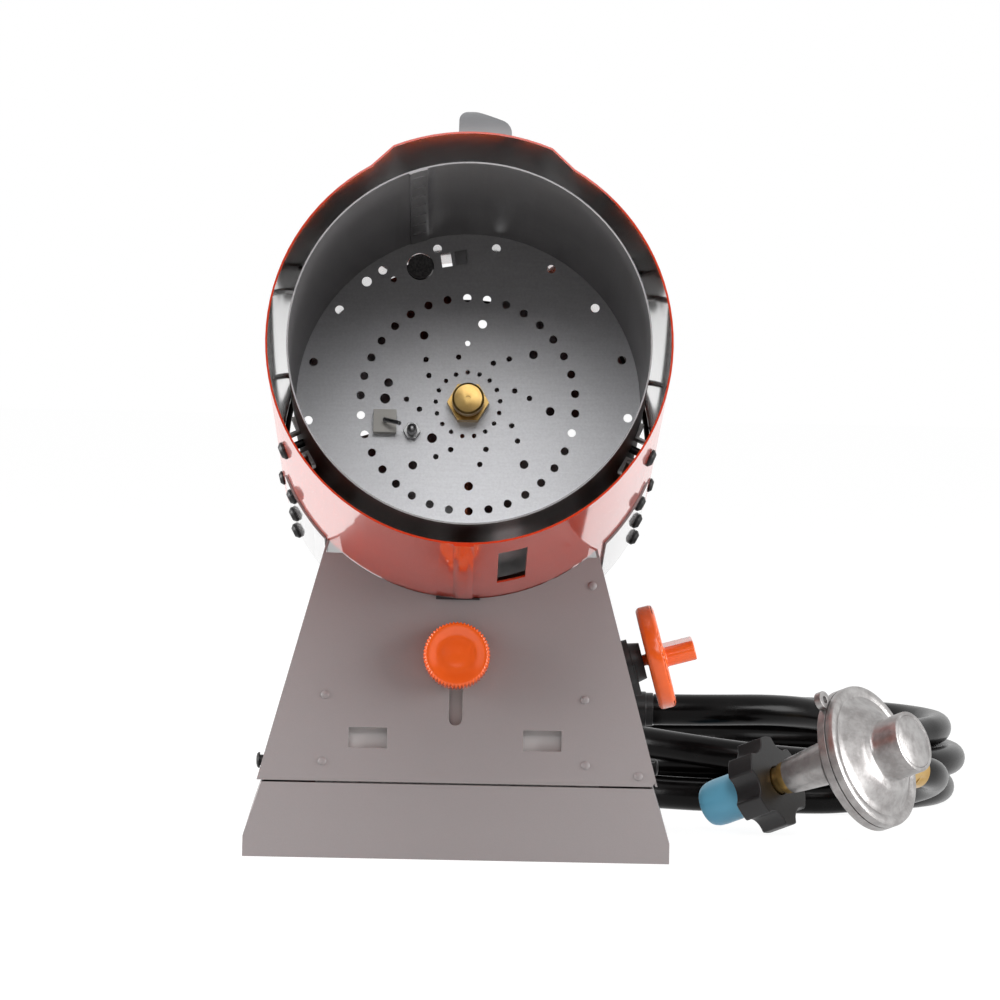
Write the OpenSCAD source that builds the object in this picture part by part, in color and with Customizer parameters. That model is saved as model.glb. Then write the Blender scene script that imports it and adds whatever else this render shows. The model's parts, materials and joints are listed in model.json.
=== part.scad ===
// Portable forced-air propane heater on a tilting pedestal.
// Millimetres. +Z is up, the hot-air outlet faces -Y and +X is the gas-knob side.
// The origin is on the floor, at the centre of the base's footprint.

/* [Drum] */
// Outside diameter of the drum
drum_d = 203.2; // [180:0.2:210]
// Length of the drum
drum_l = 415; // [380:1:450]
// Sheet thickness of the drum
drum_wall = 1; // [0.8:0.1:1.6]
// Upward pitch of the drum at rest, in degrees
drum_pitch = 10; // [6:0.5:12]
// Height of the outlet's centre above the floor
outlet_h = 275.5; // [270:0.5:300]
// How far the outlet's centre lies in front of the base's centre
outlet_reach = 298; // [280:1:310]
// Sideways offset of the drum from the middle of the base
drum_x = 1.8; // [-4:0.1:4]
// Rise of the raised band along the top of the drum
band_rise = 4.4; // [2:0.2:7]
// Half angle of the flat of the raised band, in degrees
band_angle = 22; // [16:1:28]
// Angle taken by each sloping flank of the raised band, in degrees
band_flank = 8; // [5:1:12]
// Width of the lap seam along the drum's underside
seam_w = 10; // [6:0.5:16]
// Width of the slot in the drum's underside
slot_w = 15; // [8:0.5:22]
// Length of the slot in the drum's underside
slot_l = 128; // [80:1:140]
// Distance of that slot behind the outlet
slot_from = 45; // [30:1:70]

/* [Combustion chamber] */
// Outside diameter of the chamber
chamber_d = 182.4; // [160:0.2:186]
// Sheet thickness of the chamber
chamber_wall = 0.8; // [0.6:0.1:1.2]
// Length of the chamber
chamber_l = 236; // [225:1:250]
// Distance of the chamber's mouth behind the outlet
chamber_inset = 3; // [2:0.5:8]
// Distance of the burner disc's face behind the outlet
disc_depth = 226; // [210:1:230]
// Sheet thickness of the burner disc
disc_t = 1; // [0.8:0.1:1.6]
// Depth of the lip that is turned back round the burner disc
disc_lip = 8; // [5:0.5:12]
// Number of steps in the ring of large burner holes
ring_steps = 34; // [24:2:40]
// Radius of that ring of large burner holes
ring_r = 56.5; // [50:0.5:62]
// Diameter of the large burner holes
burner_hole_d = 4.3; // [3:0.1:5]

/* [Pedestal] */
// Sheet thickness of the pedestal and the base
sheet_t = 1.2; // [1:0.1:1.6]
// Width of the pedestal along its bottom edge
pedestal_w = 210; // [206:0.2:216]
// Length of the pedestal along its bottom edge
pedestal_l = 217.2; // [210:0.2:230]
// Height of the front panel's top corners above the floor
panel_top = 157.4; // [150:0.2:162]
// Lean of the side panels, in degrees
side_lean = 15.3; // [13:0.1:17]
// Lean of the front and rear panels, in degrees
front_lean = 12; // [10:0.5:14]
// Height of the lower base
base_h = 38.5; // [36:0.5:42]
// Gap under the pedestal's skirt, above the lower base
rim_gap = 1; // [0.4:0.1:2]
// Width of the lower base along its top edge
base_top_w = 204.5; // [198:0.5:205]
// How far each side wall of the base leans out on its way down to the foot
base_flare = 9.1; // [6:0.1:10]
// Height of the upright foot of the base
foot_h = 10.6; // [8:0.2:14]

/* [Tilt] */
// Height of the tilt hinge above the floor
hinge_h = 33; // [31:0.5:34]
// Distance of the tilt hinge behind the base's centre
hinge_back = 98; // [94:0.5:100]
// Diameter of the pivot screws
pivot_d = 6; // [5:0.5:7]
// Height of the tilt stud above the floor
stud_h = 104; // [100:0.5:112]
// Sideways offset of the tilt stud from the middle of the base
stud_x = -1.5; // [-4:0.5:4]
// Diameter of the tilt stud
stud_d = 6; // [5:0.5:6.5]
// Width of the slot in the front panel
panel_slot_w = 7; // [6.8:0.1:9]
// How far the stud can travel along that slot
stud_travel = 32; // [30:1:36]
// Diameter of the tilt knob
tilt_knob_d = 35; // [28:0.5:38]
// Depth of the tilt knob
tilt_knob_h = 15; // [12:0.5:18]
// Number of grooves round the tilt knob
tilt_knob_grooves = 30; // [20:1:36]
// Gap between the front panel and the tilt plate behind it
plate_gap = 6.5; // [6:0.1:8]

/* [Fan] */
// Diameter of the fan
fan_d = 180; // [150:1:186]
// Number of blades
fan_blades = 4; // [3:1:4]
// Distance of the fan's middle behind the outlet
fan_depth = 306; // [298:1:312]
// Diameter of the motor
motor_d = 82; // [70:1:90]
// Length of the motor
motor_l = 56; // [48:1:60]
// Diameter of the motor's shaft
shaft_d = 6; // [5:0.5:8]
// Wire diameter of the rear guard
guard_wire = 3; // [2.4:0.1:3.6]
// Number of wire rings in the rear guard
guard_rings = 6; // [4:1:8]

/* [Controls] */
// Diameter of the gas knob's disc
gas_knob_d = 55.4; // [46:0.2:58]
// Thickness of the gas knob's disc
gas_knob_t = 9.6; // [7:0.2:12]
// Height of the gas knob's grip above its disc
gas_grip_h = 16; // [12:0.5:20]
// Height of the gas knob's axis, where it meets the side panel
gas_knob_z = 99; // [92:0.5:106]
// Distance of the gas knob in front of the base's centre
gas_knob_front = 45; // [38:1:50]
// Gap from the side panel to the gas knob's disc
gas_knob_off = 11.3; // [10:0.1:14]
// Diameter of the push buttons
button_d = 13; // [10:0.5:15]
// Travel of the push buttons
button_travel = 6; // [4:0.5:8]
// Height of the push buttons above the floor
button_z = 64; // [58:1:70]
// Height of the gas inlet above the floor
inlet_z = 66; // [62:0.5:70]

/* [Handle] */
// Width of the handle
handle_w = 27.8; // [24:0.2:34]
// Length of the handle
handle_l = 150; // [130:1:165]
// Height of the handle above the drum's round
handle_h = 41.5; // [38:0.5:48]
// Thickness of the handle's grip
grip_t = 15; // [12:0.5:18]
// Sideways offset of the handle from the middle
handle_side = 6; // [0:0.5:8]
// Distance of the handle's front end behind the outlet
handle_from = 140; // [120:1:170]

/* [Regulator] */
// Diameter of the regulator's flange
regulator_d = 79.4; // [76:0.2:88]
// Diameter of the cap on the regulator's bonnet
bonnet_cap_d = 34; // [26:0.5:36]
// Height of the bonnet and its cap above the flange
bonnet_h = 31; // [26:0.5:36]
// Diameter of the handwheel
wheel_d = 50.6; // [46:0.2:56]
// Thickness of the handwheel
wheel_t = 16; // [12:0.5:18]
// Number of lobes round the handwheel
wheel_lobes = 6; // [5:1:7]
// Diameter of the dust cap
dust_cap_d = 25.6; // [22:0.2:27]
// Length of the dust cap
dust_cap_l = 29.4; // [24:0.2:31]
// Outside diameter of the gas hose
hose_d = 17; // [15:0.5:17.5]

/* [Hidden] */
$fn = 64;

// Clearances
running_gap = 0.05;
seat_gap = 0.1;
body_gap = 0.4;
eps = 0.01;
// Length of a hole that only has to pass through a sheet
through = 16;

// Colours
drum_orange = [0.80, 0.20, 0.06];
knob_orange = [0.95, 0.33, 0.04];
panel_grey = [0.47, 0.45, 0.44];
zinc = [0.62, 0.63, 0.64];
brass = [0.72, 0.55, 0.27];
black = [0.05, 0.05, 0.05];
cast_grey = [0.70, 0.70, 0.69];
cap_blue = [0.36, 0.68, 0.84];
ceramic_white = [0.86, 0.85, 0.82];
handle_grey = [0.55, 0.56, 0.57];
copper = [0.72, 0.42, 0.26];

// Drum frame: x to the right, y across the drum and up, z out of the outlet
drum_r = drum_d / 2;
drum_in = drum_r - drum_wall;
band_r = drum_r + band_rise;
chamber_r = chamber_d / 2;
chamber_in = chamber_r - chamber_wall;
module in_drum() {
  translate([drum_x, -outlet_reach, outlet_h])
    rotate([90 - drum_pitch, 0, 0])
      children();
}
// Turns clockwise from the top, as seen from the outlet
module at_angle(angle, radius, depth) {
  rotate([0, 0, -angle])
    translate([0, radius, -depth])
      children();
}
// Stands a child's z axis straight out of the drum's surface
module out_of_drum(angle, radius, depth) {
  at_angle(angle, radius, depth)
    rotate([-90, 0, 0])
      children();
}
module ring(outer, inner, height) {
  difference() {
    cylinder(r = outer, h = height);
    translate([0, 0, -1])
      cylinder(r = inner, h = height + 2);
  }
}
// A wedge of the plane, from one angle clockwise to another, the corner at the centre
module wedge(from, to, radius) {
  steps = 6;
  polygon(concat([[0, 0]], [for (i = [0 : steps])
    let (a = from + (to - from) * i / steps)
      [radius * sin(a), radius * cos(a)]]));
}
// A straight round bar from one point to another
module bar(from, to, radius) {
  d = to - from;
  l = norm(d);
  translate(from)
    rotate([0, acos(d[2] / l), atan2(d[1], d[0])])
      cylinder(r = radius, h = l);
}

// ---- Base ----
top_x = pedestal_w / 2;
top_y = pedestal_l / 2;
side_tan = tan(side_lean);
front_tan = tan(front_lean);
base_w = base_top_w + 2 * base_flare;
base_l = pedestal_l + 2 * base_h * front_tan;
function wall_x(z) = top_x - (z - base_h) * side_tan;
function wall_y(z) = top_y - (z - base_h) * front_tan;
// Outside of the base's side walls, which stand inside the pedestal's ears
function base_x(z) = base_top_w / 2 + (base_h - max(z, foot_h)) * base_flare / (base_h - foot_h);
// The base as one block, drawn in from its skin by the inset
module base_block(inset, low) {
  intersection() {
    rotate([90, 0, 0])
      linear_extrude(height = base_l + 4, center = true)
        polygon([
          [-base_x(0) + inset, low], [-base_x(0) + inset, foot_h], [-base_x(base_h) + inset, base_h],
          [base_x(base_h) - inset, base_h], [base_x(0) - inset, foot_h], [base_x(0) - inset, low]
        ]);
    rotate([90, 0, 90])
      linear_extrude(height = base_w + 4, center = true)
        polygon([
          [-wall_y(low) + inset, low], [-top_y + inset, base_h],
          [top_y - inset, base_h], [wall_y(low) - inset, low]
        ]);
  }
}
rear_gap = 5;
base_mouth = 3;
corner_notch = 6;
pivot_r = pivot_d / 2;
module base_tray() {
  color(panel_grey)
    difference() {
      base_block(0, 0);
      base_block(sheet_t, sheet_t);
      // open top, inside the walls
      translate([0, 0, base_h])
        cube([base_top_w - 2 * sheet_t, pedestal_l - 2 * sheet_t, base_mouth], center = true);
      // the rear wall and its corners are lower, so that the pedestal's tail can dip
      translate([0, base_l / 2, base_h - rear_gap / 2 + eps])
        cube([base_top_w - 2 * sheet_t, base_l / 2, rear_gap], center = true);
      translate([0, top_y, base_h - rear_gap / 2 + eps])
        cube([base_w, 2 * corner_notch, rear_gap], center = true);
      translate([0, hinge_back, hinge_h])
        rotate([0, 90, 0])
          cylinder(r = pivot_r + running_gap, h = base_w + 10, center = true);
      for (x = [-1, 1])
        translate([x * plate_foot_x, plate_foot_mid, -1])
          cylinder(r = plate_screw_r, h = 5);
    }
}

// ---- Tilt mechanism ----
// Frame on the front panel's skin at the stud's height, z out of the panel and y up along it
module on_front(z) {
  translate([stud_x, -wall_y(z), z])
    rotate([90 - front_lean, 0, 0])
      children();
}
stud_r = stud_d / 2;
plate_w = 148;
plate_over = 14;
plate_foot_l = 16;
plate_foot_x = 52;
plate_screw_r = 2;
plate_back = sheet_t / cos(front_lean) + plate_gap;
function plate_y(z) = -wall_y(z) + plate_back;
plate_foot_mid = plate_y(sheet_t) + plate_foot_l / 2;
module tilt_plate() {
  plate_top = stud_h + plate_over;
  low = sheet_t;
  thick = sheet_t / cos(front_lean);
  foot_at = plate_y(low);
  color(panel_grey)
    difference() {
      translate([-plate_w / 2, 0, 0])
        rotate([90, 0, 90])
          linear_extrude(height = plate_w)
            polygon([
              [foot_at, low], [plate_y(plate_top), plate_top],
              [plate_y(plate_top) + thick, plate_top],
              [plate_y(low + sheet_t) + thick, low + sheet_t],
              [foot_at + plate_foot_l, low + sheet_t], [foot_at + plate_foot_l, low]
            ]);
      on_front(stud_h)
        translate([0, 0, -plate_back - 10])
          cylinder(r = stud_r + seat_gap, h = 20);
      for (x = [-1, 1])
        translate([x * plate_foot_x, plate_foot_mid, 0])
          cylinder(r = plate_screw_r, h = 8);
    }
}
knob_gap = body_gap;
stud_tip = knob_gap + tilt_knob_h - 5;
module tilt_stud() {
  behind = (plate_back + sheet_t / cos(front_lean)) * cos(front_lean) + eps;
  flange_t = 2;
  color(zinc) {
    on_front(stud_h)
      translate([0, 0, -behind - flange_t])
        union() {
          cylinder(r = stud_r, h = behind + flange_t + stud_tip);
          translate([-7, -7, 0])
            cube([14, 14, flange_t]);
        }
    // foot screws of the plate, with their nuts
    for (x = [-1, 1])
      translate([x * plate_foot_x, plate_foot_mid, body_gap])
        union() {
          cylinder(r = plate_screw_r - seat_gap, h = 2 * sheet_t + 3);
          translate([0, 0, 2 * sheet_t - body_gap + running_gap])
            cylinder(r = 4, h = 3, $fn = 6);
        }
  }
}
module tilt_knob() {
  groove_r = 1.6;
  knob_r = tilt_knob_d / 2;
  skirt = 3;
  color(knob_orange)
    on_front(stud_h)
      translate([0, 0, knob_gap])
        difference() {
          union() {
            rotate_extrude($fn = 96)
              polygon([
                [0, 0], [knob_r * 0.72, 0], [knob_r - 1, skirt - 1], [knob_r, skirt],
                [knob_r, tilt_knob_h - 2.2], [knob_r - 2.2, tilt_knob_h],
                [knob_r * 0.66, tilt_knob_h], [knob_r * 0.58, tilt_knob_h - 1.8],
                [knob_r * 0.34, tilt_knob_h - 1.4], [knob_r * 0.2, tilt_knob_h - 0.6],
                [0, tilt_knob_h - 0.4]
              ]);
          }
          for (i = [0 : tilt_knob_grooves - 1])
            rotate([0, 0, 360 * i / tilt_knob_grooves])
              translate([knob_r + groove_r * 0.45, 0, -1])
                cylinder(r = groove_r, h = tilt_knob_h + 2, $fn = 24);
          translate([0, 0, -1])
            cylinder(r = stud_r + running_gap, h = stud_tip - knob_gap + 2);
        }
}
ear_r = 9;
pivot_head_r = 4.4;
pivot_head_t = 2;
pivot_nut_r = 5;
module pivot_screws() {
  head_at = wall_x(hinge_h - pivot_head_r) + body_gap;
  nut_at = base_x(hinge_h + pivot_nut_r) - sheet_t - seat_gap;
  color(black)
    for (side = [-1, 1])
      translate([0, hinge_back, hinge_h])
        rotate([0, side * 90, 0])
          union() {
            translate([0, 0, nut_at - 5])
              cylinder(r = pivot_r, h = head_at - nut_at + 6);
            translate([0, 0, head_at])
              rotate_extrude()
                polygon([
                  [0, 0], [pivot_head_r, 0], [pivot_head_r, pivot_head_t * 0.4],
                  [pivot_head_r * 0.8, pivot_head_t * 0.8], [pivot_head_r * 0.4, pivot_head_t],
                  [0, pivot_head_t]
                ]);
            translate([0, 0, nut_at - 4])
              cylinder(r = pivot_nut_r, h = 4, $fn = 6);
          }
}

// ---- Pedestal ----
skirt = base_h + rim_gap;
// A sheet that leans like the front panel, as long as the pedestal is wide
module leaning_slab(front, low, high, inset) {
  s = front ? -1 : 1;
  skin = sheet_t / cos(front_lean);
  rotate([90, 0, 90])
    linear_extrude(height = base_w + 60, center = true)
      polygon([
        [s * (wall_y(low) - inset), low], [s * (wall_y(high) - inset), high],
        [s * (wall_y(high) - inset - skin), high], [s * (wall_y(low) - inset - skin), low]
      ]);
}
module drum_cut(gap) {
  in_drum()
    translate([0, 0, -drum_l - 50])
      linear_extrude(height = drum_l + 100)
        circle(r = drum_r + gap, $fn = 128);
}
window_w = 20;
window_h = 10.5;
window_z = base_h + 23.6;
window_x = [-47.2, 44.1];
rivet_spots = [[-69.9, 83.9], [-70.7, 49.6], [66, 83.7], [66.9, 50], [68.9, 142.8], [94.6, 44.8]];
rivet_r = 1.6;
slot_low = stud_h - (stud_travel + stud_r + 0.6) * cos(front_lean);
module front_panel() {
  corner = 3;
  color(panel_grey)
    difference() {
      intersection() {
        rotate([90, 0, 0])
          linear_extrude(height = base_l + 20)
            difference() {
              polygon([
                [-wall_x(skirt), skirt], [-wall_x(panel_top), panel_top],
                [wall_x(panel_top), panel_top], [wall_x(skirt + corner), skirt + corner],
                [wall_x(skirt) - corner, skirt]
              ]);
              translate([stud_x, 0])
                slot_2d(slot_low, stud_h + stud_r + 0.6);
              for (x = window_x)
                translate([x - window_w / 2, window_z - window_h / 2])
                  square([window_w, window_h]);
            }
        leaning_slab(true, skirt, panel_top, 0);
      }
      drum_cut(seat_gap * 3);
      for (spot = rivet_spots)
        translate([spot[0], -wall_y(spot[1]), spot[1]])
          rotate([90 - front_lean, 0, 0])
            cylinder(r = rivet_r, h = 10, center = true);
    }
}
module slot_2d(low, high) {
  r = panel_slot_w / 2;
  hull() {
    translate([0, low + r])
      circle(r = r, $fn = 32);
    translate([0, high - r])
      circle(r = r, $fn = 32);
  }
}
// Domed rivets that hold the front panel to the flanges behind it
module panel_rivets() {
  color(panel_grey)
    for (spot = rivet_spots)
      translate([spot[0], -wall_y(spot[1]), spot[1]])
        rotate([90 - front_lean, 0, 0])
          union() {
            translate([0, 0, -sheet_t - 0.6])
              cylinder(r = rivet_r, h = sheet_t + 0.7);
            rotate_extrude()
              polygon([[0, 0], [2.4, 0], [2, 0.6], [1, 1], [0, 1.1]]);
          }
}
saddle_top = 112;
saddle_low = 134;
saddle_from = 234;
saddle_to = 396;
saddle_gap = 0.1;
bolt_angle = 118;
bolt_depths = [242, 316, 388];
bolt_r = 2;
module saddle_flange(side) {
  in_drum()
    translate([0, 0, -saddle_to])
      linear_extrude(height = saddle_to - saddle_from)
        intersection() {
          difference() {
            circle(r = drum_r + saddle_gap + sheet_t, $fn = 128);
            circle(r = drum_r + saddle_gap, $fn = 128);
          }
          wedge(side * saddle_top, side * saddle_low, drum_r + 20);
        }
}
module side_sheet(side) {
  skin = sheet_t / cos(side_lean);
  high = 196;
  low = hinge_h - ear_r;
  intersection() {
    rotate([90, 0, 0])
      linear_extrude(height = base_l + 20, center = true)
        polygon([
          [side * wall_x(low), low], [side * wall_x(high), high],
          [side * (wall_x(high) - skin), high], [side * (wall_x(low) - skin), low]
        ]);
    rotate([90, 0, 90])
      linear_extrude(height = base_w + 20, center = true)
        union() {
          polygon([
            [-wall_y(skirt) + skin, skirt], [-wall_y(high) + skin, high],
            [wall_y(high) - skin, high], [wall_y(skirt) - skin, skirt]
          ]);
          // ear that laps over the base's wall and turns on the pivot screw
          translate([hinge_back, hinge_h])
            circle(r = ear_r);
          translate([hinge_back - ear_r, hinge_h])
            square([2 * ear_r, skirt - hinge_h + seat_gap]);
        }
  }
}
module side_panel(side) {
  difference() {
    union() {
      difference() {
        side_sheet(side);
        drum_cut(saddle_gap);
      }
      saddle_flange(side);
    }
    translate([0, hinge_back, hinge_h])
      rotate([0, 90, 0])
        cylinder(r = pivot_r + running_gap, h = base_w + 30, center = true);
    in_drum()
      for (depth = bolt_depths)
        out_of_drum(side * bolt_angle, drum_r - through / 2, depth)
          cylinder(r = bolt_r + seat_gap, h = through);
  }
}
module left_side_panel() {
  color(panel_grey)
    side_panel(-1);
}
module right_side_panel() {
  color(panel_grey)
    difference() {
      side_panel(1);
      on_side(gas_knob_z, -gas_knob_front)
        cylinder(r = collar_r + seat_gap, h = 10, center = true);
      translate([0, inlet_y, inlet_z])
        rotate([0, 90, 0])
          cylinder(r = ferrule_r + body_gap, h = base_w);
    }
}
// Frame on the rear panel's skin, z out of the panel and y up along it
module on_rear(x, z) {
  translate([x, wall_y(z), z])
    rotate([-90 + front_lean, 0, 0])
      rotate([0, 0, 180])
        children();
}
rear_top = 100;
button_x = [52, 14];
gland_x = -54;
gland_r = 8;
vent_rows = 4;
vent_pitch = 9;
module rear_panel() {
  inner = sheet_t / cos(side_lean) + seat_gap;
  color(panel_grey)
    difference() {
      intersection() {
        rotate([90, 0, 0])
          translate([0, 0, -base_l - 20])
            linear_extrude(height = base_l + 20)
              difference() {
                polygon([
                  [-wall_x(skirt) + inner, skirt], [-wall_x(rear_top) + inner, rear_top],
                  [wall_x(rear_top) - inner, rear_top], [wall_x(skirt) - inner, skirt]
                ]);
                // louvre slots that feed the valve with cooling air
                for (i = [0 : vent_rows - 1])
                  translate([-32, 50 + vent_pitch * i])
                    square([26, 3], center = false);
              }
        leaning_slab(false, skirt, rear_top, 0);
      }
      drum_cut(seat_gap * 3);
      for (x = button_x)
        on_rear(x, button_z)
          cylinder(r = bezel_r + seat_gap, h = 12, center = true);
      on_rear(gland_x, button_z)
        cylinder(r = gland_r + seat_gap, h = 12, center = true);
    }
}

// ---- Drum ----
// Round of the drum, with the raised band along its top between two sloping flanks
module drum_outline(grow) {
  foot = (drum_r + grow) * [sin(band_angle + band_flank), cos(band_angle + band_flank)];
  head = (band_r + grow) * [sin(band_angle), cos(band_angle)];
  slope = 3 * unit(head - foot);
  out = head + slope;
  in = foot - slope;
  union() {
    circle(r = drum_r + grow, $fn = 128);
    intersection() {
      circle(r = band_r + grow, $fn = 128);
      polygon([
        [0, 0], [-in[0], in[1]], [-out[0], out[1]], [0, 2 * drum_r], [out[0], out[1]], [in[0], in[1]]
      ]);
    }
  }
}
seam_mid = 180.5;
slot_mid = 166.3;
pipe_r = 4;
pipe_depth = disc_depth + 32;
module drum_shell() {
  seam_half = seam_w / 2 / drum_r * 180 / PI;
  color(drum_orange)
    in_drum()
      difference() {
        union() {
          translate([0, 0, -drum_l])
            linear_extrude(height = drum_l)
              drum_outline(0);
          // lap seam, stopped where the pedestal begins
          translate([0, 0, -saddle_from + 8])
            linear_extrude(height = saddle_from - 8)
              intersection() {
                circle(r = drum_r + drum_wall, $fn = 128);
                wedge(seam_mid - seam_half, seam_mid + seam_half, 2 * drum_r);
              }
        }
        translate([0, 0, -drum_l - 1])
          linear_extrude(height = drum_l + 2)
            drum_outline(-drum_wall);
        at_angle(slot_mid, drum_r, slot_from + slot_l / 2)
          cube([slot_w, 20, slot_l], center = true);
        out_of_drum(180, 60, pipe_depth)
          cylinder(r = pipe_r + 2, h = 60);
        for (side = [-1, 1]) {
          for (depth = bolt_depths)
            out_of_drum(side * bolt_angle, drum_r - through / 2, depth)
              cylinder(r = bolt_r + seat_gap, h = through);
          out_of_drum(side * spacer_angle, drum_r - through / 2, spacer_depth)
            cylinder(r = bolt_r + seat_gap, h = through);
        }
        for (angle = bracket_angles)
          out_of_drum(angle, drum_r - through / 2, bracket_depth + bracket_tab / 2)
            cylinder(r = bolt_r + seat_gap, h = through);
        for (depth = handle_screw_depths)
          translate([handle_side, drum_r - through / 2, -depth])
            rotate([-90, 0, 0])
              cylinder(r = handle_screw_r + seat_gap, h = 2 * through);
      }
}
// Black edge strip on the lip of the front panel, under the drum
module drum_edge_guard() {
  guard_w = 23;
  color(black)
    difference() {
      translate([stud_x - guard_w / 2, 0, 0])
        rotate([90, 0, 90])
          linear_extrude(height = guard_w)
            polygon([
              [-wall_y(guard_low), guard_low], [-wall_y(guard_high), guard_high],
              [-wall_y(guard_high) - 1.2, guard_high], [-wall_y(guard_low) - 1.2, guard_low]
            ]);
      drum_cut(seat_gap * 3);
    }
}
arc_low = outlet_h - (outlet_reach - wall_y(panel_top - 22)) * tan(drum_pitch) - drum_r / cos(drum_pitch);
guard_drop = 1;
guard_low = arc_low - guard_drop;
guard_high = arc_low + 2;
module hex_bolt(grip, head_r, head_t) {
  // z is the outward direction, and z = 0 is the face that the head sits on
  union() {
    translate([0, 0, -grip - 3.5])
      cylinder(r = bolt_r, h = grip + 3.5 + eps);
    rotate_extrude($fn = 32)
      polygon([[0, 0], [head_r, 0], [head_r, head_t * 0.45], [head_r * 0.6, head_t], [0, head_t]]);
    translate([0, 0, -grip - 3.2])
      cylinder(r = 3.8, h = 2.8, $fn = 6);
  }
}
module saddle_bolts() {
  color(black)
    in_drum()
      for (side = [-1, 1], depth = bolt_depths)
        out_of_drum(side * bolt_angle, drum_r + saddle_gap + sheet_t, depth)
          hex_bolt(drum_wall + saddle_gap + sheet_t, 4.2, 3);
}

// ---- Handle ----
post_l = 26;
handle_screw_r = 2;
handle_screw_depths = [handle_from + post_l / 2, handle_from + handle_l - post_l / 2];
handle_seat = sqrt(band_r * band_r - (handle_side + handle_w / 2) * (handle_side + handle_w / 2));
handle_top = drum_r + handle_h;
// Arch seen from the side: x runs back along the drum, y is the radius
module handle_side_view() {
  low = drum_r - 2;
  rise = handle_top - low;
  difference() {
    hull() {
      translate([0, low])
        square([handle_l, 4]);
      translate([16, handle_top - 16])
        circle(r = 16);
      translate([handle_l - 22, handle_top - 22])
        circle(r = 22);
    }
    hull() {
      translate([post_l, low - 5])
        square([handle_l - 2 * post_l, 4]);
      translate([post_l + 9, low + rise - grip_t - 9])
        circle(r = 9);
      translate([handle_l - post_l - 9, low + rise - grip_t - 9])
        circle(r = 9);
    }
  }
}
// Section seen along the drum, steep on the left and rounded off on the right
module handle_end_view() {
  w = handle_w / 2;
  hull() {
    translate([-w, drum_r - 4])
      square([handle_w, 4]);
    translate([-w + 7, handle_top - 6.5])
      circle(r = 6.5);
    translate([w - 8, handle_top - 13.5])
      circle(r = 8);
  }
}
module handle() {
  color(handle_grey)
    in_drum()
      translate([handle_side, 0, -handle_from])
        difference() {
          intersection() {
            rotate([0, 90, 0])
              linear_extrude(height = handle_w + 2, center = true)
                handle_side_view();
            translate([0, 0, -handle_l - 1])
              linear_extrude(height = handle_l + 2)
                handle_end_view();
          }
          translate([-handle_side, 0, -handle_l - 2])
            linear_extrude(height = handle_l + 4)
              drum_outline(seat_gap);
          for (z = [-post_l / 2, -handle_l + post_l / 2])
            translate([0, 0, z])
              rotate([-90, 0, 0])
                cylinder(r = handle_screw_r + running_gap, h = band_r + 14);
        }
}
module handle_screws() {
  color(zinc)
    in_drum()
      for (depth = handle_screw_depths)
        translate([handle_side, 0, -depth])
          rotate([-90, 0, 0])
            union() {
              translate([0, 0, drum_in + band_rise - 3.4])
                cylinder(r = 4, h = 2.6);
              translate([0, 0, drum_in + band_rise - 2])
                cylinder(r = handle_screw_r, h = 15);
            }
}

// ---- Combustion chamber ----
lock_seam_angle = -17.5;
lock_seam_w = 9.5;
module combustion_chamber() {
  half = lock_seam_w / 2 / chamber_in * 180 / PI;
  rung_count = 7;
  rung_step = (disc_depth - 24) / rung_count;
  color(zinc)
    in_drum()
      difference() {
        union() {
          translate([0, 0, -chamber_inset - chamber_l])
            ring(chamber_r, chamber_in, chamber_l);
          // lock seam along the inside, with its clinch marks
          translate([0, 0, -disc_depth + 1])
            linear_extrude(height = disc_depth - 1 - chamber_inset)
              intersection() {
                difference() {
                  circle(r = chamber_r - eps, $fn = 128);
                  circle(r = chamber_in - 0.7, $fn = 128);
                }
                wedge(lock_seam_angle - half, lock_seam_angle + half, chamber_r + 5);
              }
          for (i = [0 : rung_count - 1])
            translate([0, 0, -22 - rung_step * i])
              linear_extrude(height = 3)
                intersection() {
                  difference() {
                    circle(r = chamber_r - eps, $fn = 128);
                    circle(r = chamber_in - 1.3, $fn = 128);
                  }
                  wedge(lock_seam_angle - half + 0.8, lock_seam_angle + half - 0.8,
                    chamber_r + 5);
                }
        }
        for (side = [-1, 1])
          out_of_drum(side * spacer_angle, chamber_r - through / 2, spacer_depth)
            cylinder(r = bolt_r + seat_gap, h = through);
      }
}
disc_turn = -1.5;
ring_pitch = 360 / ring_steps;
// Each row is ring radius, hole diameter, number of holes, first hole and step between holes in ring pitches
hole_rings = [
  [17, 2.4, 17, 0, 2],
  [25.6, 2.9, 8, -9, 4],
  [32.4, 2.9, 8, -8, 4],
  [43.3, 4.6, 8, -7, 4],
  [ring_r, burner_hole_d, ring_steps, 0, 1],
  [84.2, 4.6, ring_steps / 2, 1, 2]
];
// Each single hole is an angle, a radius and a diameter
single_holes = [[-31.5, 77, 3.2], [-40.3, 84.2, 5.2], [-87, 43.6, 5.4], [-134.5, 26, 5.2]];
tab_spot = [-9.5, 77.6];
tab_w = 5.4;
tab_l = 7.4;
switch_spot = [-20, 77.4];
switch_hole_r = 7.2;
electrode_spot = [-103.5, 44.6];
sensor_spot = [-117, 32.7];
nozzle_thread_r = 6;
module disc_spot(spot) {
  rotate([0, 0, -spot[0]])
    translate([0, spot[1]])
      children();
}
module disc_holes() {
  for (row = hole_rings, i = [0 : row[2] - 1])
    disc_spot([disc_turn + ring_pitch * (row[3] + row[4] * i), row[0]])
      circle(r = row[1] / 2, $fn = 24);
  disc_spot(switch_spot)
    circle(r = switch_hole_r);
  for (spot = single_holes)
    disc_spot(spot)
      circle(r = spot[2] / 2);
  disc_spot(tab_spot)
    square([tab_w, tab_l], center = true);
}
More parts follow.
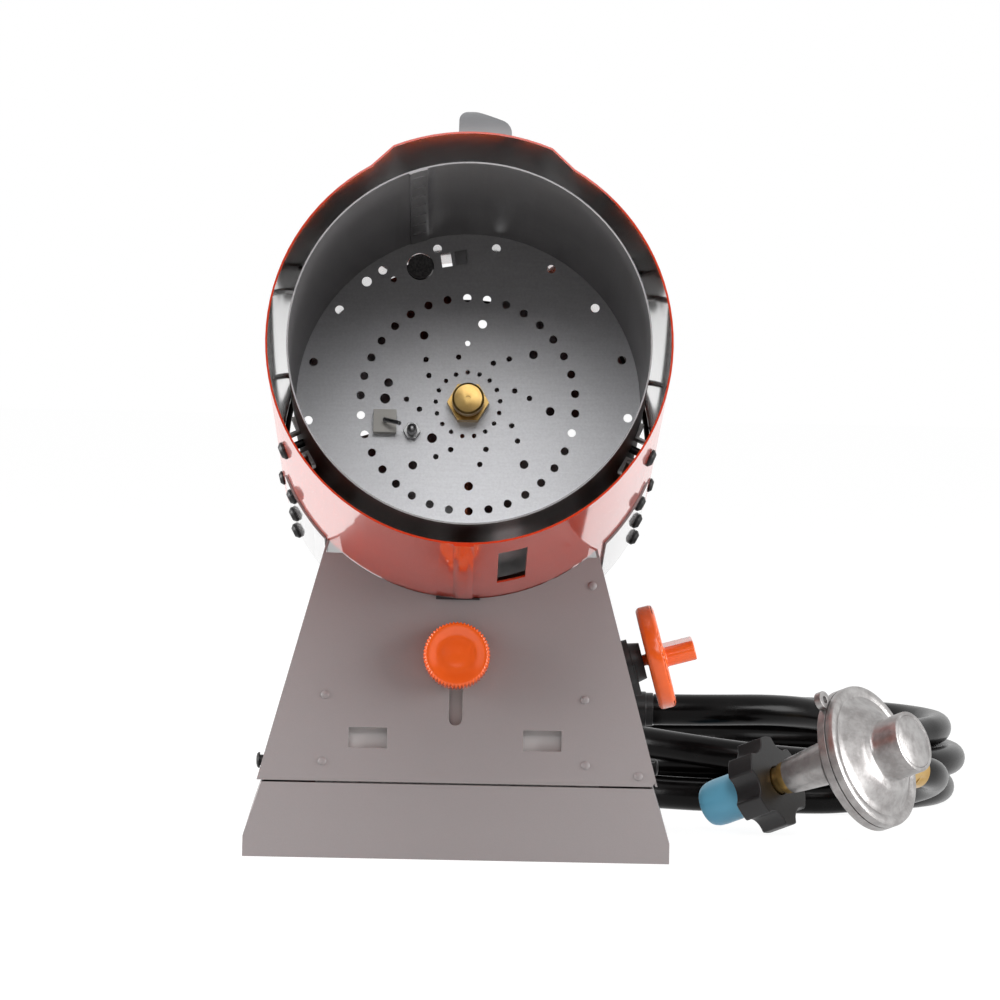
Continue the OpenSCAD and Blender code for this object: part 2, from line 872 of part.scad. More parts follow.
module burner_disc() {
  lip_r = chamber_in - seat_gap / 2;
  color(zinc)
    in_drum()
      union() {
        difference() {
          translate([0, 0, -disc_depth - disc_t])
            linear_extrude(height = disc_t)
              difference() {
                circle(r = lip_r, $fn = 128);
                disc_holes();
                circle(r = nozzle_thread_r + seat_gap);
                disc_spot(electrode_spot)
                  circle(r = electrode_hole_r);
                disc_spot(sensor_spot)
                  circle(r = sensor_r + seat_gap);
              }
        }
        translate([0, 0, -disc_depth - disc_lip])
          ring(lip_r, lip_r - disc_t, disc_lip - eps);
        // tab bent forward out of the cut-out beside the limit switch
        at_angle(tab_spot[0] + 4, tab_spot[1], disc_depth)
          translate([-0.5, -tab_l / 2 + seat_gap, -eps])
            rotate([0, -24, 0])
              cube([6.5, tab_l - 2 * seat_gap, 0.8]);
      }
}
spacer_angle = 114;
spacer_depth = 112;
spacer_w = 13;
module spacer_strip(angle, depth) {
  // a bent strip that holds the chamber clear of the drum
  gap_in = chamber_r + seat_gap / 2;
  gap_out = drum_in - seat_gap;
  difference() {
    at_angle(angle, (gap_in + gap_out) / 2, depth)
      cube([spacer_w + 14, 40, spacer_w], center = true);
    translate([0, 0, -depth - 20])
      cylinder(r = gap_in, h = 40, $fn = 128);
    translate([0, 0, -depth - 20])
      difference() {
        cylinder(r = 2 * drum_r, h = 40);
        translate([0, 0, -1])
          cylinder(r = gap_out, h = 42, $fn = 128);
      }
    // hollow of the strip, with its feet on the chamber
    at_angle(angle, gap_in + 2.6, depth)
      cube([spacer_w - 2.4, 7, spacer_w + 2], center = true);
    for (end = [-1, 1])
      at_angle(angle, gap_in + 8, depth)
        translate([end * (spacer_w / 2 + 5), 0, 0])
          cube([10, 13.6, spacer_w + 2], center = true);
    out_of_drum(angle, chamber_r - 8, depth)
      cylinder(r = bolt_r + seat_gap, h = 26);
  }
}
rear_spacers = [-55, 55, 130, -130];
rear_spacer_depth = 205;
module chamber_spacers() {
  color(zinc)
    in_drum() {
      for (side = [-1, 1])
        spacer_strip(side * spacer_angle, spacer_depth);
      for (angle = rear_spacers)
        spacer_strip(angle, rear_spacer_depth);
    }
}
module spacer_bolts() {
  color(black)
    in_drum()
      for (side = [-1, 1])
        out_of_drum(side * spacer_angle, drum_r, spacer_depth)
          union() {
            translate([0, 0, chamber_in - drum_r - 3.4])
              cylinder(r = bolt_r, h = drum_r - chamber_in + 3.4 + eps);
            rotate_extrude($fn = 32)
              polygon([[0, 0], [4.6, 0], [4.6, 1.4], [2.8, 3], [0, 3]]);
            translate([0, 0, chamber_in - drum_r - 3])
              cylinder(r = 3.8, h = 2.8, $fn = 6);
          }
}

// ---- Burner ----
nozzle_hex = 19;
nozzle_cap_d = 16.6;
module burner_nozzle() {
  color(brass)
    in_drum()
      translate([0, 0, -disc_depth])
        difference() {
          union() {
            // threaded tail through the disc
            translate([0, 0, -14])
              cylinder(r = nozzle_thread_r, h = 14 + eps);
            cylinder(r = nozzle_hex / sqrt(3), h = 9, $fn = 6);
            translate([0, 0, 9 - eps])
              rotate_extrude()
                polygon([
                  [0, 0], [7, 0], [7, 3], [nozzle_cap_d / 2, 4], [nozzle_cap_d / 2, 14],
                  [nozzle_cap_d / 2 - 1, 15], [1.2, 15], [1.2, 14.2], [0, 14.2]
                ]);
            // back nut
            translate([0, 0, -disc_t - 6.2])
              cylinder(r = 10, h = 6.1, $fn = 6);
            translate([nozzle_cap_d / 2 - 2, 0, 4.5])
              rotate([0, 90, 0])
                cylinder(r = 1, h = 4.5, $fn = 24);
          }
          translate([0, 0, -15])
            cylinder(r = pipe_r, h = 11);
        }
}
elbow_r = 14;
module manifold_pipe() {
  start = disc_depth + 4 + seat_gap;
  tube_r = pipe_r - seat_gap;
  low = drum_point(0, -elbow_r - manifold_drop, -pipe_depth);
  valve_tail = valve_back + valve_h + 6;
  valve_end = [
    wall_x(gas_knob_z) - valve_tail * cos(side_lean),
    -gas_knob_front,
    gas_knob_z - valve_tail * sin(side_lean)
  ];
  color(copper) {
    // back from the nozzle, round the bend and down through the drum
    in_drum()
      union() {
        translate([0, 0, -pipe_depth + elbow_r])
          cylinder(r = tube_r, h = pipe_depth - start - elbow_r);
        translate([0, -elbow_r, -pipe_depth + elbow_r])
          rotate([0, 90, 0])
            rotate_extrude(angle = 90, $fn = 48)
              translate([elbow_r, 0])
                circle(r = tube_r, $fn = 48);
        translate([0, -elbow_r + eps, -pipe_depth])
          rotate([90, 0, 0])
            cylinder(r = tube_r, h = manifold_drop);
      }
    // on to the gas valve
    translate(low)
      sphere(r = tube_r + 0.4);
    bar(low, valve_end, tube_r);
  }
}
manifold_drop = 108;
// A point of the drum's frame, given in the part's own frame
function drum_point(x, y, z) = [
  x + drum_x,
  y * sin(drum_pitch) - z * cos(drum_pitch) - outlet_reach,
  y * cos(drum_pitch) + z * sin(drum_pitch) + outlet_h
];
module electrode_ceramic() {
  body = 12;
  color(ceramic_white)
    in_drum()
      rotate([0, 0, -electrode_spot[0]])
        translate([0, electrode_spot[1], -disc_depth])
          rotate([0, 0, electrode_spot[0]])
            difference() {
              union() {
                translate([-body / 2, -body / 2, 0])
                  cube([body, body, 7]);
                translate([0, 0, -26])
                  cylinder(r = electrode_hole_r - seat_gap, h = 26 + eps);
              }
              translate([0, 0, -30])
                cylinder(r = rod_r, h = 50);
            }
}
electrode_hole_r = 4.2;
rod_r = 1.1;
module electrode_rod() {
  color(zinc)
    in_drum()
      rotate([0, 0, -electrode_spot[0]])
        translate([0, electrode_spot[1], -disc_depth])
          rotate([0, 0, electrode_spot[0]])
            union() {
              translate([0, 0, -30])
                cylinder(r = rod_r, h = 42);
              translate([0, 0, 12])
                sphere(r = rod_r);
              bar([0, 0, 12], [8, -3, 20], rod_r);
            }
}
sensor_r = 2.6;
module flame_sensor() {
  color(zinc)
    in_drum()
      disc_spot(sensor_spot)
        translate([0, 0, -disc_depth])
          union() {
            translate([0, 0, -22])
              cylinder(r = sensor_r, h = 34);
            translate([0, 0, 12])
              sphere(r = sensor_r);
            cylinder(r = 4.6, h = 4, $fn = 6);
            translate([0, 0, -disc_t - 4.1])
              cylinder(r = 4.6, h = 4, $fn = 6);
          }
}
module limit_switch() {
  color(zinc)
    in_drum()
      disc_spot(switch_spot)
        translate([0, 0, -disc_depth - disc_t - 0.1])
          union() {
            translate([0, 0, -8])
              cylinder(r = 6.6, h = 9.5);
            translate([-11, -3.2, -3])
              cube([22, 6.4, 3]);
            for (x = [-3, 3])
              translate([x - 0.4, -1.6, -16])
                cube([0.8, 3.2, 8.2]);
          }
}

// ---- Fan and motor ----
bracket_depth = 330;
bracket_t = 2;
bracket_tab = 14;
bracket_w = 22;
bracket_angles = [105, 180, -105];
motor_r = motor_d / 2;
shaft_r = shaft_d / 2;
boss_r = 13;
module motor_bracket() {
  tab_r = drum_in - seat_gap;
  color(zinc)
    in_drum()
      difference() {
        union() {
          translate([0, 0, -bracket_depth - bracket_t])
            linear_extrude(height = bracket_t)
              intersection() {
                circle(r = tab_r, $fn = 128);
                union() {
                  circle(r = motor_r * 0.8);
                  for (angle = bracket_angles)
                    rotate([0, 0, -angle])
                      translate([-bracket_w / 2, 0])
                        square([bracket_w, drum_r]);
                }
              }
          // tabs that lie along the drum's wall
          translate([0, 0, -bracket_depth - bracket_tab])
            linear_extrude(height = bracket_tab)
              intersection() {
                difference() {
                  circle(r = tab_r, $fn = 128);
                  circle(r = tab_r - bracket_t, $fn = 128);
                }
                for (angle = bracket_angles)
                  rotate([0, 0, -angle])
                    translate([-bracket_w / 2, 0])
                      square([bracket_w, drum_r]);
              }
        }
        translate([0, 0, -bracket_depth - 10])
          cylinder(r = boss_r + seat_gap, h = 20);
        for (angle = bracket_angles)
          out_of_drum(angle, drum_r - 10, bracket_depth + bracket_tab / 2)
            cylinder(r = bolt_r + seat_gap, h = 20);
      }
}
module bracket_screws() {
  color(black)
    in_drum()
      for (angle = bracket_angles)
        out_of_drum(angle, drum_r, bracket_depth + bracket_tab / 2)
          union() {
            translate([0, 0, -drum_wall - bracket_t - 3.6])
              cylinder(r = bolt_r, h = drum_wall + bracket_t + 3.6 + eps);
            rotate_extrude($fn = 32)
              polygon([[0, 0], [3.8, 0], [3.8, 1], [2.4, 2.4], [0, 2.4]]);
            translate([0, 0, -drum_wall - bracket_t - 3.2])
              cylinder(r = 3.8, h = 2.8, $fn = 6);
          }
}
motor_front = bracket_depth + bracket_t + seat_gap;
module fan_motor() {
  color(zinc)
    in_drum()
      difference() {
        union() {
          translate([0, 0, -motor_front - motor_l])
            rotate_extrude($fn = 96)
              polygon([
                [0, 0], [motor_r * 0.5, 0], [motor_r * 0.86, 4], [motor_r * 0.86, 10],
                [motor_r, 12], [motor_r, motor_l - 10], [motor_r * 0.86, motor_l - 8],
                [motor_r * 0.86, motor_l], [0, motor_l]
              ]);
          translate([0, 0, -motor_front - eps])
            cylinder(r = boss_r, h = 9);
        }
        // bearing bore and the cooling slots round both end bells
        translate([0, 0, -motor_front - shaft_tail - 2])
          cylinder(r = shaft_r + running_gap, h = 60);
        for (i = [0 : 11])
          rotate([0, 0, 30 * i])
            translate([motor_r * 0.66, -2, -motor_front - motor_l - 1])
              cube([motor_r, 4, 8]);
      }
}
hub_r = 16;
hub_h = 20;
blade_sheet = 1.2;
// Half the angle that one blade covers, and how far the gap at the top is turned
blade_half = 33.5;
fan_turn = 2.5;
module fan_blade() {
  tip_r = fan_d / 2;
  curve_r = 160;
  pitch = 14;
  color(zinc)
    in_drum()
      translate([0, 0, -fan_depth])
        difference() {
          union() {
            translate([0, 0, -hub_h / 2])
              cylinder(r = hub_r, h = hub_h);
            // each blade is a piece of a rolled sheet, pitched across the air stream
            for (i = [0 : fan_blades - 1])
              rotate([0, 0, 360 * (i + 0.5) / fan_blades - fan_turn])
                intersection() {
                  rotate([0, pitch, 0])
                    translate([0, 0, -curve_r])
                      rotate([-90, 0, 0])
                        ring(curve_r + blade_sheet / 2, curve_r - blade_sheet / 2,
                          tip_r, $fn = 192);
                  translate([0, 0, -22])
                    linear_extrude(height = 36)
                      blade_outline(tip_r);
                }
          }
          translate([0, 0, -hub_h])
            cylinder(r = shaft_r + seat_gap / 2, h = 2 * hub_h);
        }
}
module blade_outline(tip_r) {
  corner = 9;
  reach = tip_r - corner;
  turn = blade_half - asin(corner / reach);
  intersection() {
    circle(r = tip_r, $fn = 96);
    hull() {
      circle(r = hub_r * 0.7);
      translate([0, tip_r])
        circle(r = corner, $fn = 32);
      for (side = [-1, 1])
        rotate([0, 0, side * turn])
          translate([0, reach])
            circle(r = corner, $fn = 32);
    }
  }
}
shaft_tail = 32;
module fan_shaft() {
  color(zinc)
    in_drum()
      translate([0, 0, -motor_front - shaft_tail])
        cylinder(r = shaft_r, h = motor_front + shaft_tail - fan_depth + hub_h / 2 + 4);
}
module rear_guard() {
  outer = drum_in - seat_gap / 2 - guard_wire / 2;
  wire_r = guard_wire / 2;
  step = (outer - 16) / (guard_rings - 1);
  color(black)
    in_drum()
      translate([0, 0, -drum_l + 3])
        union() {
          for (i = [0 : guard_rings - 1])
            rotate_extrude($fn = 96)
              translate([16 + step * i, 0])
                circle(r = wire_r, $fn = 24);
          for (i = [0 : 3])
            rotate([0, 0, 45 * i + 22.5])
              translate([0, 0, guard_wire * 0.7])
                rotate([90, 0, 0])
                  cylinder(r = wire_r, h = 2 * outer, center = true, $fn = 24);
        }
}

// ---- Gas controls ----
// Frame on the right side panel's skin, z out of the panel
module on_side(z, y) {
  translate([wall_x(z), y, z])
    rotate([0, 90 - side_lean, 0])
      children();
}
collar_r = 8;
stem_r = 3;
valve_w = 30;
valve_l = 30;
valve_h = 26;
valve_back = 8;
module gas_valve() {
  color(brass)
    difference() {
      union() {
        on_side(gas_knob_z, -gas_knob_front)
          union() {
            translate([-valve_w / 2, -valve_l / 2, -valve_back - valve_h])
              cube([valve_w, valve_l, valve_h]);
            translate([0, 0, -valve_back - eps])
              cylinder(r = collar_r, h = valve_back + 2);
            // shoulder that seats against the back of the panel
            translate([0, 0, -valve_back - eps])
              cylinder(r = collar_r + 3, h = valve_back - sheet_t);
            translate([0, 0, -valve_back - valve_h - 8])
              cylinder(r = 9, h = 8 + eps, $fn = 6);
          }
      }
      on_side(gas_knob_z, -gas_knob_front)
        translate([0, 0, -valve_back - 14])
          cylinder(r = stem_r + running_gap, h = 40);
    }
}
module valve_collar() {
  collar_h = gas_knob_off - 2 - body_gap;
  color(black)
    on_side(gas_knob_z, -gas_knob_front)
      translate([0, 0, 0.05])
        difference() {
          union() {
            cylinder(r = 13, h = 3);
            cylinder(r1 = 11.5, r2 = 9.6, h = collar_h);
            // stop arm under the collar
            linear_extrude(height = 4)
              polygon([[0, -12], [0, 12], [17, 5], [17, -5]]);
          }
          translate([0, 0, -1])
            cylinder(r = collar_r + seat_gap, h = 4);
          translate([0, 0, -1])
            cylinder(r = stem_r + 0.6, h = 30);
        }
}
module gas_knob() {
  knob_r = gas_knob_d / 2;
  color(knob_orange)
    on_side(gas_knob_z, -gas_knob_front)
      union() {
        // stem
        translate([0, 0, -valve_back - 12])
          cylinder(r = stem_r, h = valve_back + 12 + gas_knob_off + 1);
        translate([0, 0, gas_knob_off])
          difference() {
            rotate_extrude($fn = 96)
              polygon([
                [0, 0], [knob_r - 1.5, 0], [knob_r, 1.5], [knob_r, gas_knob_t - 1.6],
                [knob_r - 1, gas_knob_t - 0.5], [knob_r - 3.4, gas_knob_t],
                [0, gas_knob_t]
              ]);
            // shallow dish behind the rim
            translate([0, 0, -eps])
              ring(knob_r - 4, stem_r + 5, 3);
          }
        // bar grip with rounded ends
        translate([0, 0, gas_knob_off + gas_knob_t - eps])
          linear_extrude(height = gas_grip_h)
            hull() {
              for (y = [-1, 1])
                translate([0, y * (knob_r - 11)])
                  circle(r = 5.2, $fn = 32);
            }
      }
}
bezel_r = button_d / 2 + 2;
button_r = button_d / 2;
button_proud = button_travel + 2;
module push_housing(x, back_l) {
  on_rear(x, button_z)
    difference() {
      union() {
        // threaded barrel, bezel outside and nut inside
        translate([0, 0, -sheet_t - back_l])
          cylinder(r = bezel_r, h = back_l + sheet_t + 1);
        cylinder(r = bezel_r + 2, h = 2);
        translate([0, 0, -sheet_t - 5.1])
          cylinder(r = bezel_r + 4, h = 5, $fn = 6);
      }
      translate([0, 0, -button_travel - 4])
        cylinder(r = button_r + running_gap, h = 40);
    }
}
module push_button(x) {
  on_rear(x, button_z)
    translate([0, 0, -3])
      union() {
        cylinder(r = button_r, h = button_proud + 1);
        translate([0, 0, button_proud + 1 - eps])
          rotate_extrude()
            polygon([[0, 0], [button_r, 0], [button_r - 1.4, 1.6], [0, 2.2]]);
      }
}
module safety_valve() {
  color(brass)
    union() {
      push_housing(button_x[0], 22);
      on_rear(button_x[0], button_z)
        translate([-13, -13, -sheet_t - 46])
          cube([26, 26, 25]);
    }
}
module safety_button() {
  color([0.75, 0.08, 0.06])
    push_button(button_x[0]);
}
module igniter_body() {
  color(black)
    union() {
      push_housing(button_x[1], 26);
      on_rear(button_x[1], button_z)
        translate([0, 0, -sheet_t - 50])
          cylinder(r = bezel_r - 1.5, h = 25);
    }
}
module igniter_button() {
  color([0.75, 0.08, 0.06])
    push_button(button_x[1]);
}
inlet_y = 84;
inlet_neck_r = 7;
// Where the hose leaves the ferrule, which itself passes through the side panel
inlet_face_x = 106;
ferrule_l = 14;
ferrule_r = hose_d / 2 + 1.2;
supply_r = 4;
inlet_start = 6;
module inlet_fitting() {
  neck_from = button_x[0] + inlet_start;
  neck_to = inlet_face_x - ferrule_l;
  color(brass)
    translate([0, inlet_y, inlet_z])
      rotate([0, 90, 0])
        union() {
          translate([0, 0, neck_from])
            cylinder(r = inlet_neck_r, h = neck_to - neck_from);
          // elbow's hexagon and the hose's swivel nut
          translate([0, 0, neck_from + 8])
            cylinder(r = 11, h = 7, $fn = 6);
          translate([0, 0, neck_to - 14])
            cylinder(r = 10.5, h = 14, $fn = 6);
        }
}
module supply_pipe() {
  // from the safety valve's block, up and forward to the gas valve's block
  block_back = sheet_t + 44;
  safety_end = [
    button_x[0], wall_y(button_z) - block_back * cos(front_lean), button_z - block_back * sin(front_lean)
  ];
  valve_end = [
    wall_x(gas_knob_z) - (valve_back + valve_h / 2) * cos(side_lean),
    -gas_knob_front + valve_l / 2 - 2,
    gas_knob_z - (valve_back + valve_h / 2) * sin(side_lean)
  ];
  color(copper)
    bar(safety_end, valve_end, supply_r);
}
module cord_gland() {
  color(black)
    on_rear(gland_x, button_z)
      difference() {
        union() {
          translate([0, 0, -sheet_t - 9])
            cylinder(r = gland_r, h = sheet_t + 10);
          cylinder(r = gland_r + 3, h = 3);
          translate([0, 0, 3 - eps])
            cylinder(r1 = gland_r, r2 = gland_r - 2, h = 9);
          translate([0, 0, -sheet_t - 5.1])
            cylinder(r = gland_r + 4, h = 5, $fn = 6);
        }
        translate([0, 0, -20])
          cylinder(r = 3.6, h = 40);
      }
}

// ---- Hose ----
hose_r = hose_d / 2;
coil_centre = [172, 310];
coil_mid_r = 96.5;
coil_layers = 3;
run_points = [
  [106.3, 84, 66], [113, 84, 66], [129, 86, 66], [147.2, 90.8, 66], [165.9, 99.9, 65.7],
  [182.5, 112.3, 64.3], [196.8, 127.4, 61.8], [208.9, 144.4, 58.6], [219.2, 162.5, 55], [228.1, 181.3, 51.3],
  [236.1, 200.5, 48], [243.6, 220, 45.1], [251.2, 239.3, 43.2], [260.2, 258.1, 42.5]
];
tail_points = [
  [251.1, 101.6, 33.7], [257.1, 112, 32.3], [261.1, 123.3, 30.3], [263, 135.1, 27.8],
  [262.7, 147.1, 25.2], [260.3, 158.9, 22.3], [255.7, 170, 19.5], [249.2, 180.1, 16.7],
  [241.1, 188.9, 14.1], [231.4, 196, 11.9], [220.6, 201.3, 10.2], [209.1, 204.5, 9],
  [197.1, 205.6, 8.6], [185.1, 205.6, 8.6], [173.1, 205.6, 8.6]
];
function unit(v) = v / norm(v);
function heading(points, i) =
  unit(points[min(i + 1, len(points) - 1)] - points[max(i - 1, 0)]);
// A tube swept along a route, one ring of corners at each of its points
module swept_tube(points, radius, sides) {
  count = len(points);
  corners = [
    for (i = [0 : count - 1])
      let (
        ahead = heading(points, i),
        across = unit(cross(ahead, [0, 0, 1])),
        over = cross(across, ahead)
      )
        for (k = [0 : sides - 1])
          let (a = 360 * (k + 0.5) / sides)
            points[i] + radius * (cos(a) * across + sin(a) * over)
  ];
  walls = [
    for (i = [0 : count - 2], k = [0 : sides - 1])
      let (n = (k + 1) % sides)
        [i * sides + k, (i + 1) * sides + k, (i + 1) * sides + n, i * sides + n]
  ];
  first = [for (k = [0 : sides - 1]) k];
  last = [for (k = [sides - 1 : -1 : 0]) (count - 1) * sides + k];
  polyhedron(points = corners, faces = concat([first], walls, [last]), convexity = 4);
}
module hose_ferrule() {
  color(cast_grey)
    translate([inlet_face_x - ferrule_l, inlet_y, inlet_z])
      rotate([0, 90, 0])
        union() {
          cylinder(r = ferrule_r, h = ferrule_l - 4);
          translate([0, 0, ferrule_l - 4 - eps])
            cylinder(r = ferrule_r - 0.6, h = 4 + eps);
        }
}
module hose_run() {
  color(black)
    swept_tube(run_points, hose_r, 12);
}
module hose_coil() {
  color(black)
    translate([coil_centre[0], coil_centre[1], 0])
      ring(coil_mid_r + hose_d + 2, coil_mid_r - hose_d - 2, coil_layers * hose_d);
}
module hose_tail() {
  color(black)
    swept_tube(tail_points, hose_r, 12);
}

// ---- Regulator ----
// z runs along the regulator's axis, out through its bonnet, and y points at the hose
regulator_turn = 33;
neck_rise = 20.8;
neck_offset = 5.2;
regulator_r = regulator_d / 2;
regulator_spot = [221.2, 38];
floor_gap = 0.5;
// The regulator lies with the rim of its handwheel on the floor
module on_regulator() {
  height = (wheel_d / 2 - neck_offset) * cos(neck_rise) - wheel_at * sin(neck_rise) + floor_gap;
  translate([regulator_spot[0], regulator_spot[1], height])
    rotate([0, 0, -regulator_turn])
      rotate([0, 90 - neck_rise, 0])
        children();
}
// The inlet neck leaves the bowl a little above its middle
module on_neck() {
  on_regulator()
    translate([-neck_offset, 0, 0])
      children();
}
// The port for the hose points a little down, and its z runs out to the hose
module on_port() {
  on_regulator()
    translate([0, 0, port_at])
      rotate([0, 0, -port_drop])
        rotate([-90, 0, 0])
          children();
}
port_r = 9;
port_reach = 70;
port_drop = 6;
crimp_l = 9;
port_hex_l = 11;
module regulator_body() {
  color(cast_grey)
    difference() {
      union() {
        // flange and the bowl behind it
        on_regulator()
          translate([0, 0, -6])
            rotate_extrude($fn = 96)
              polygon([
                [0, -16], [12, -16], [16, -13], [30, -5], [regulator_r - 4, 0],
                [regulator_r, 1.2], [regulator_r, 5.8], [0, 5.8]
              ]);
        // inlet neck and the port for the hose
        on_neck()
          translate([0, 0, neck_end])
            cylinder(r1 = neck_r, r2 = neck_r + 3.4, h = -neck_end - 14);
        on_port()
          cylinder(r = port_r + 1, h = port_reach - crimp_l - port_hex_l);
      }
      on_neck()
        translate([0, 0, neck_end - 1])
          cylinder(r = nipple_r, h = 14);
    }
}
neck_end = -49;
neck_r = 9.6;
nipple_r = 7.5;
port_at = -13;
module regulator_bonnet() {
  cap_r = bonnet_cap_d / 2;
  color(cast_grey)
    on_regulator()
      union() {
        rotate_extrude($fn = 96)
          polygon([
            [0, 0], [regulator_r, 0], [regulator_r, 4.4], [regulator_r - 2, 5.4],
            [regulator_r - 5, 5.4], [regulator_r - 6, 4.4], [regulator_r - 9, 5.6],
            [cap_r + 5, 12.5], [cap_r + 1.4, 14], [cap_r, 16.5], [cap_r, bonnet_h - 0.8],
            [cap_r - 0.8, bonnet_h], [0, bonnet_h]
          ]);
      }
}
module vent_lug() {
  color(cast_grey)
    on_regulator()
      rotate([0, 0, 217])
        translate([regulator_r + 3.4, 0, -3.5])
          difference() {
            union() {
              cylinder(r = 5, h = 4);
              translate([-4.6, -4, 0])
                cube([4.6, 8, 4]);
            }
            translate([0, 0, -1])
              cylinder(r = 2, h = 8);
            translate([-regulator_r - 3.4, 0, -4])
              cylinder(r = regulator_r + 0.05, h = 12, $fn = 96);
          }
}
wheel_at = -73;
wheel_bore_r = 14;
nose_r = 12;
cap_gap = 1.6;
module inlet_nipple() {
  color(brass)
    on_neck()
      union() {
        translate([0, 0, wheel_at - 5])
          cylinder(r = nipple_r, h = neck_end + 13 - wheel_at + 5);
        // threaded nose in the handwheel's mouth
        translate([0, 0, wheel_at - cap_gap + body_gap])
          cylinder(r = nose_r, h = 7.4);
        // collar that the handwheel turns on and the ring in front of the neck
        translate([0, 0, neck_end - 4.2])
          cylinder(r = neck_r - 0.8, h = 4);
        translate([0, 0, wheel_at + 8])
          cylinder(r = collar_turn_r - running_gap, h = 3.6);
      }
}
collar_turn_r = 11.5;
module handwheel() {
  lobe_r = wheel_d / 2;
  color(black)
    on_neck()
      translate([0, 0, wheel_at])
        difference() {
          linear_extrude(height = wheel_t)
            difference() {
              circle(r = lobe_r, $fn = 96);
              for (i = [0 : wheel_lobes - 1])
                rotate([0, 0, 360 * (i + 0.5) / wheel_lobes])
                  translate([lobe_r + 4.6, 0])
                    circle(r = 9.4, $fn = 48);
            }
          // threaded mouth, open to the dust cap
          translate([0, 0, -1])
            cylinder(r = wheel_bore_r, h = 9 - body_gap);
          // seat of the collar, and the clearance round the nipple
          translate([0, 0, 7])
            cylinder(r = collar_turn_r, h = 5.2);
          translate([0, 0, 10])
            cylinder(r = nipple_r + 0.5, h = wheel_t);
        }
}
module dust_cap() {
  cap_r = dust_cap_d / 2;
  color(cap_blue)
    on_neck()
      translate([0, 0, wheel_at - cap_gap - dust_cap_l])
        difference() {
          rotate_extrude($fn = 96)
            polygon([
              [0, 0], [cap_r - 4, 0], [cap_r - 1.4, 1.2], [cap_r - 0.4, 4],
              [cap_r, 8], [cap_r, dust_cap_l], [0, dust_cap_l]
            ]);
          translate([0, 0, dust_cap_l - 12])
            cylinder(r = nipple_r + running_gap, h = 20);
        }
}
module outlet_fitting() {
  color(brass)
    on_port()
      union() {
        translate([0, 0, port_reach - crimp_l - port_hex_l])
          cylinder(r = port_r + 1.5, h = port_hex_l, $fn = 6);
        translate([0, 0, port_reach - crimp_l - eps])
          cylinder(r = hose_r + 1, h = crimp_l + eps);
      }
}

base_tray();
tilt_plate();
tilt_stud();
pivot_screws();
tilt_knob();
front_panel();
left_side_panel();
right_side_panel();
rear_panel();
panel_rivets();
drum_shell();
drum_edge_guard();
saddle_bolts();
handle();
handle_screws();
combustion_chamber();
burner_disc();
chamber_spacers();
spacer_bolts();
burner_nozzle();
manifold_pipe();
electrode_ceramic();
electrode_rod();
flame_sensor();
limit_switch();
motor_bracket();
bracket_screws();
fan_motor();
fan_blade();
fan_shaft();
rear_guard();
gas_valve();
valve_collar();
gas_knob();
safety_valve();
safety_button();
igniter_body();
igniter_button();
supply_pipe();
inlet_fitting();
cord_gland();
hose_ferrule();
hose_run();
hose_coil();
hose_tail();
outlet_fitting();
regulator_body();
regulator_bonnet();
vent_lug();
inlet_nipple();
handwheel();
dust_cap();
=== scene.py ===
# %% [markdown]
# # A portable propane heater
# The heater is a tube that blows hot air, on a sheet-metal pedestal that tilts on a low base.
# A rubber hose leads to a cast regulator. The CAD frame already holds every rigid piece at its
# real size, so this lesson gives those pieces their rounded edges and finishes, and it winds the
# hose. Everything is in metres, in the CAD frame: the outlet faces -Y, and +X is the knob side.

import json
import math

import bmesh
import bpy
from mathutils import Matrix, Vector


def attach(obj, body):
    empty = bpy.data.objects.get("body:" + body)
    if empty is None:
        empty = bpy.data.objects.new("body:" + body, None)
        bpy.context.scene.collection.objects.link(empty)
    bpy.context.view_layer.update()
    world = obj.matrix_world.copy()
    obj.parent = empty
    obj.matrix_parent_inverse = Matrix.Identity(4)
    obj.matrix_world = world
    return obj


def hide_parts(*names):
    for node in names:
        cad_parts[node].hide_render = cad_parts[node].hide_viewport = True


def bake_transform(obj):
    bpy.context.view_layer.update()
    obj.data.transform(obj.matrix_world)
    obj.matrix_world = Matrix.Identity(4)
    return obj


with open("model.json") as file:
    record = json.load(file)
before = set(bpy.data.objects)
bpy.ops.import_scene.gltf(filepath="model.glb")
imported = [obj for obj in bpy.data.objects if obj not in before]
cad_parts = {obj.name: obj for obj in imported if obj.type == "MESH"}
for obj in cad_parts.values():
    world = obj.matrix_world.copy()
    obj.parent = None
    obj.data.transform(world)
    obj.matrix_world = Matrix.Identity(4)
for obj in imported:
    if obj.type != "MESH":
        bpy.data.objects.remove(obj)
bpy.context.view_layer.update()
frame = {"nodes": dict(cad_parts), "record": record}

# %% [markdown]
# ## The camera
# The camera stands about four metres away with a long lens, slightly above the outlet, so the drum
# hardly narrows towards the back. A short lens close by would also fill the frame, but it would
# make the rim swell and hide the rings of holes in the burner disc.

# %% Camera
CAMERA_AT = Vector((-0.0003, -4.298, 0.3892))
PITCH_DOWN, HEADING, ROLL = math.radians(2.75), math.radians(0.27), math.radians(1.15)
PICTURE = 1000
FOCAL_PIXELS = 8050
SENSOR_MM = 36
OUTLET_CENTRE = Vector((0.0018, -0.298, 0.2755))


def make_camera():
    data = bpy.data.cameras.new("camera")
    data.sensor_width = SENSOR_MM
    data.lens = FOCAL_PIXELS / PICTURE * data.sensor_width
    data.clip_end = 50
    camera = bpy.data.objects.new("camera", data)
    bpy.context.scene.collection.objects.link(camera)
    turn = (Matrix.Rotation(-HEADING, 4, "Z") @ Matrix.Rotation(math.pi / 2 - PITCH_DOWN, 4, "X")
            @ Matrix.Rotation(ROLL, 4, "Z"))
    camera.matrix_world = Matrix.Translation(CAMERA_AT) @ turn
    bpy.context.scene.camera = camera
    return camera


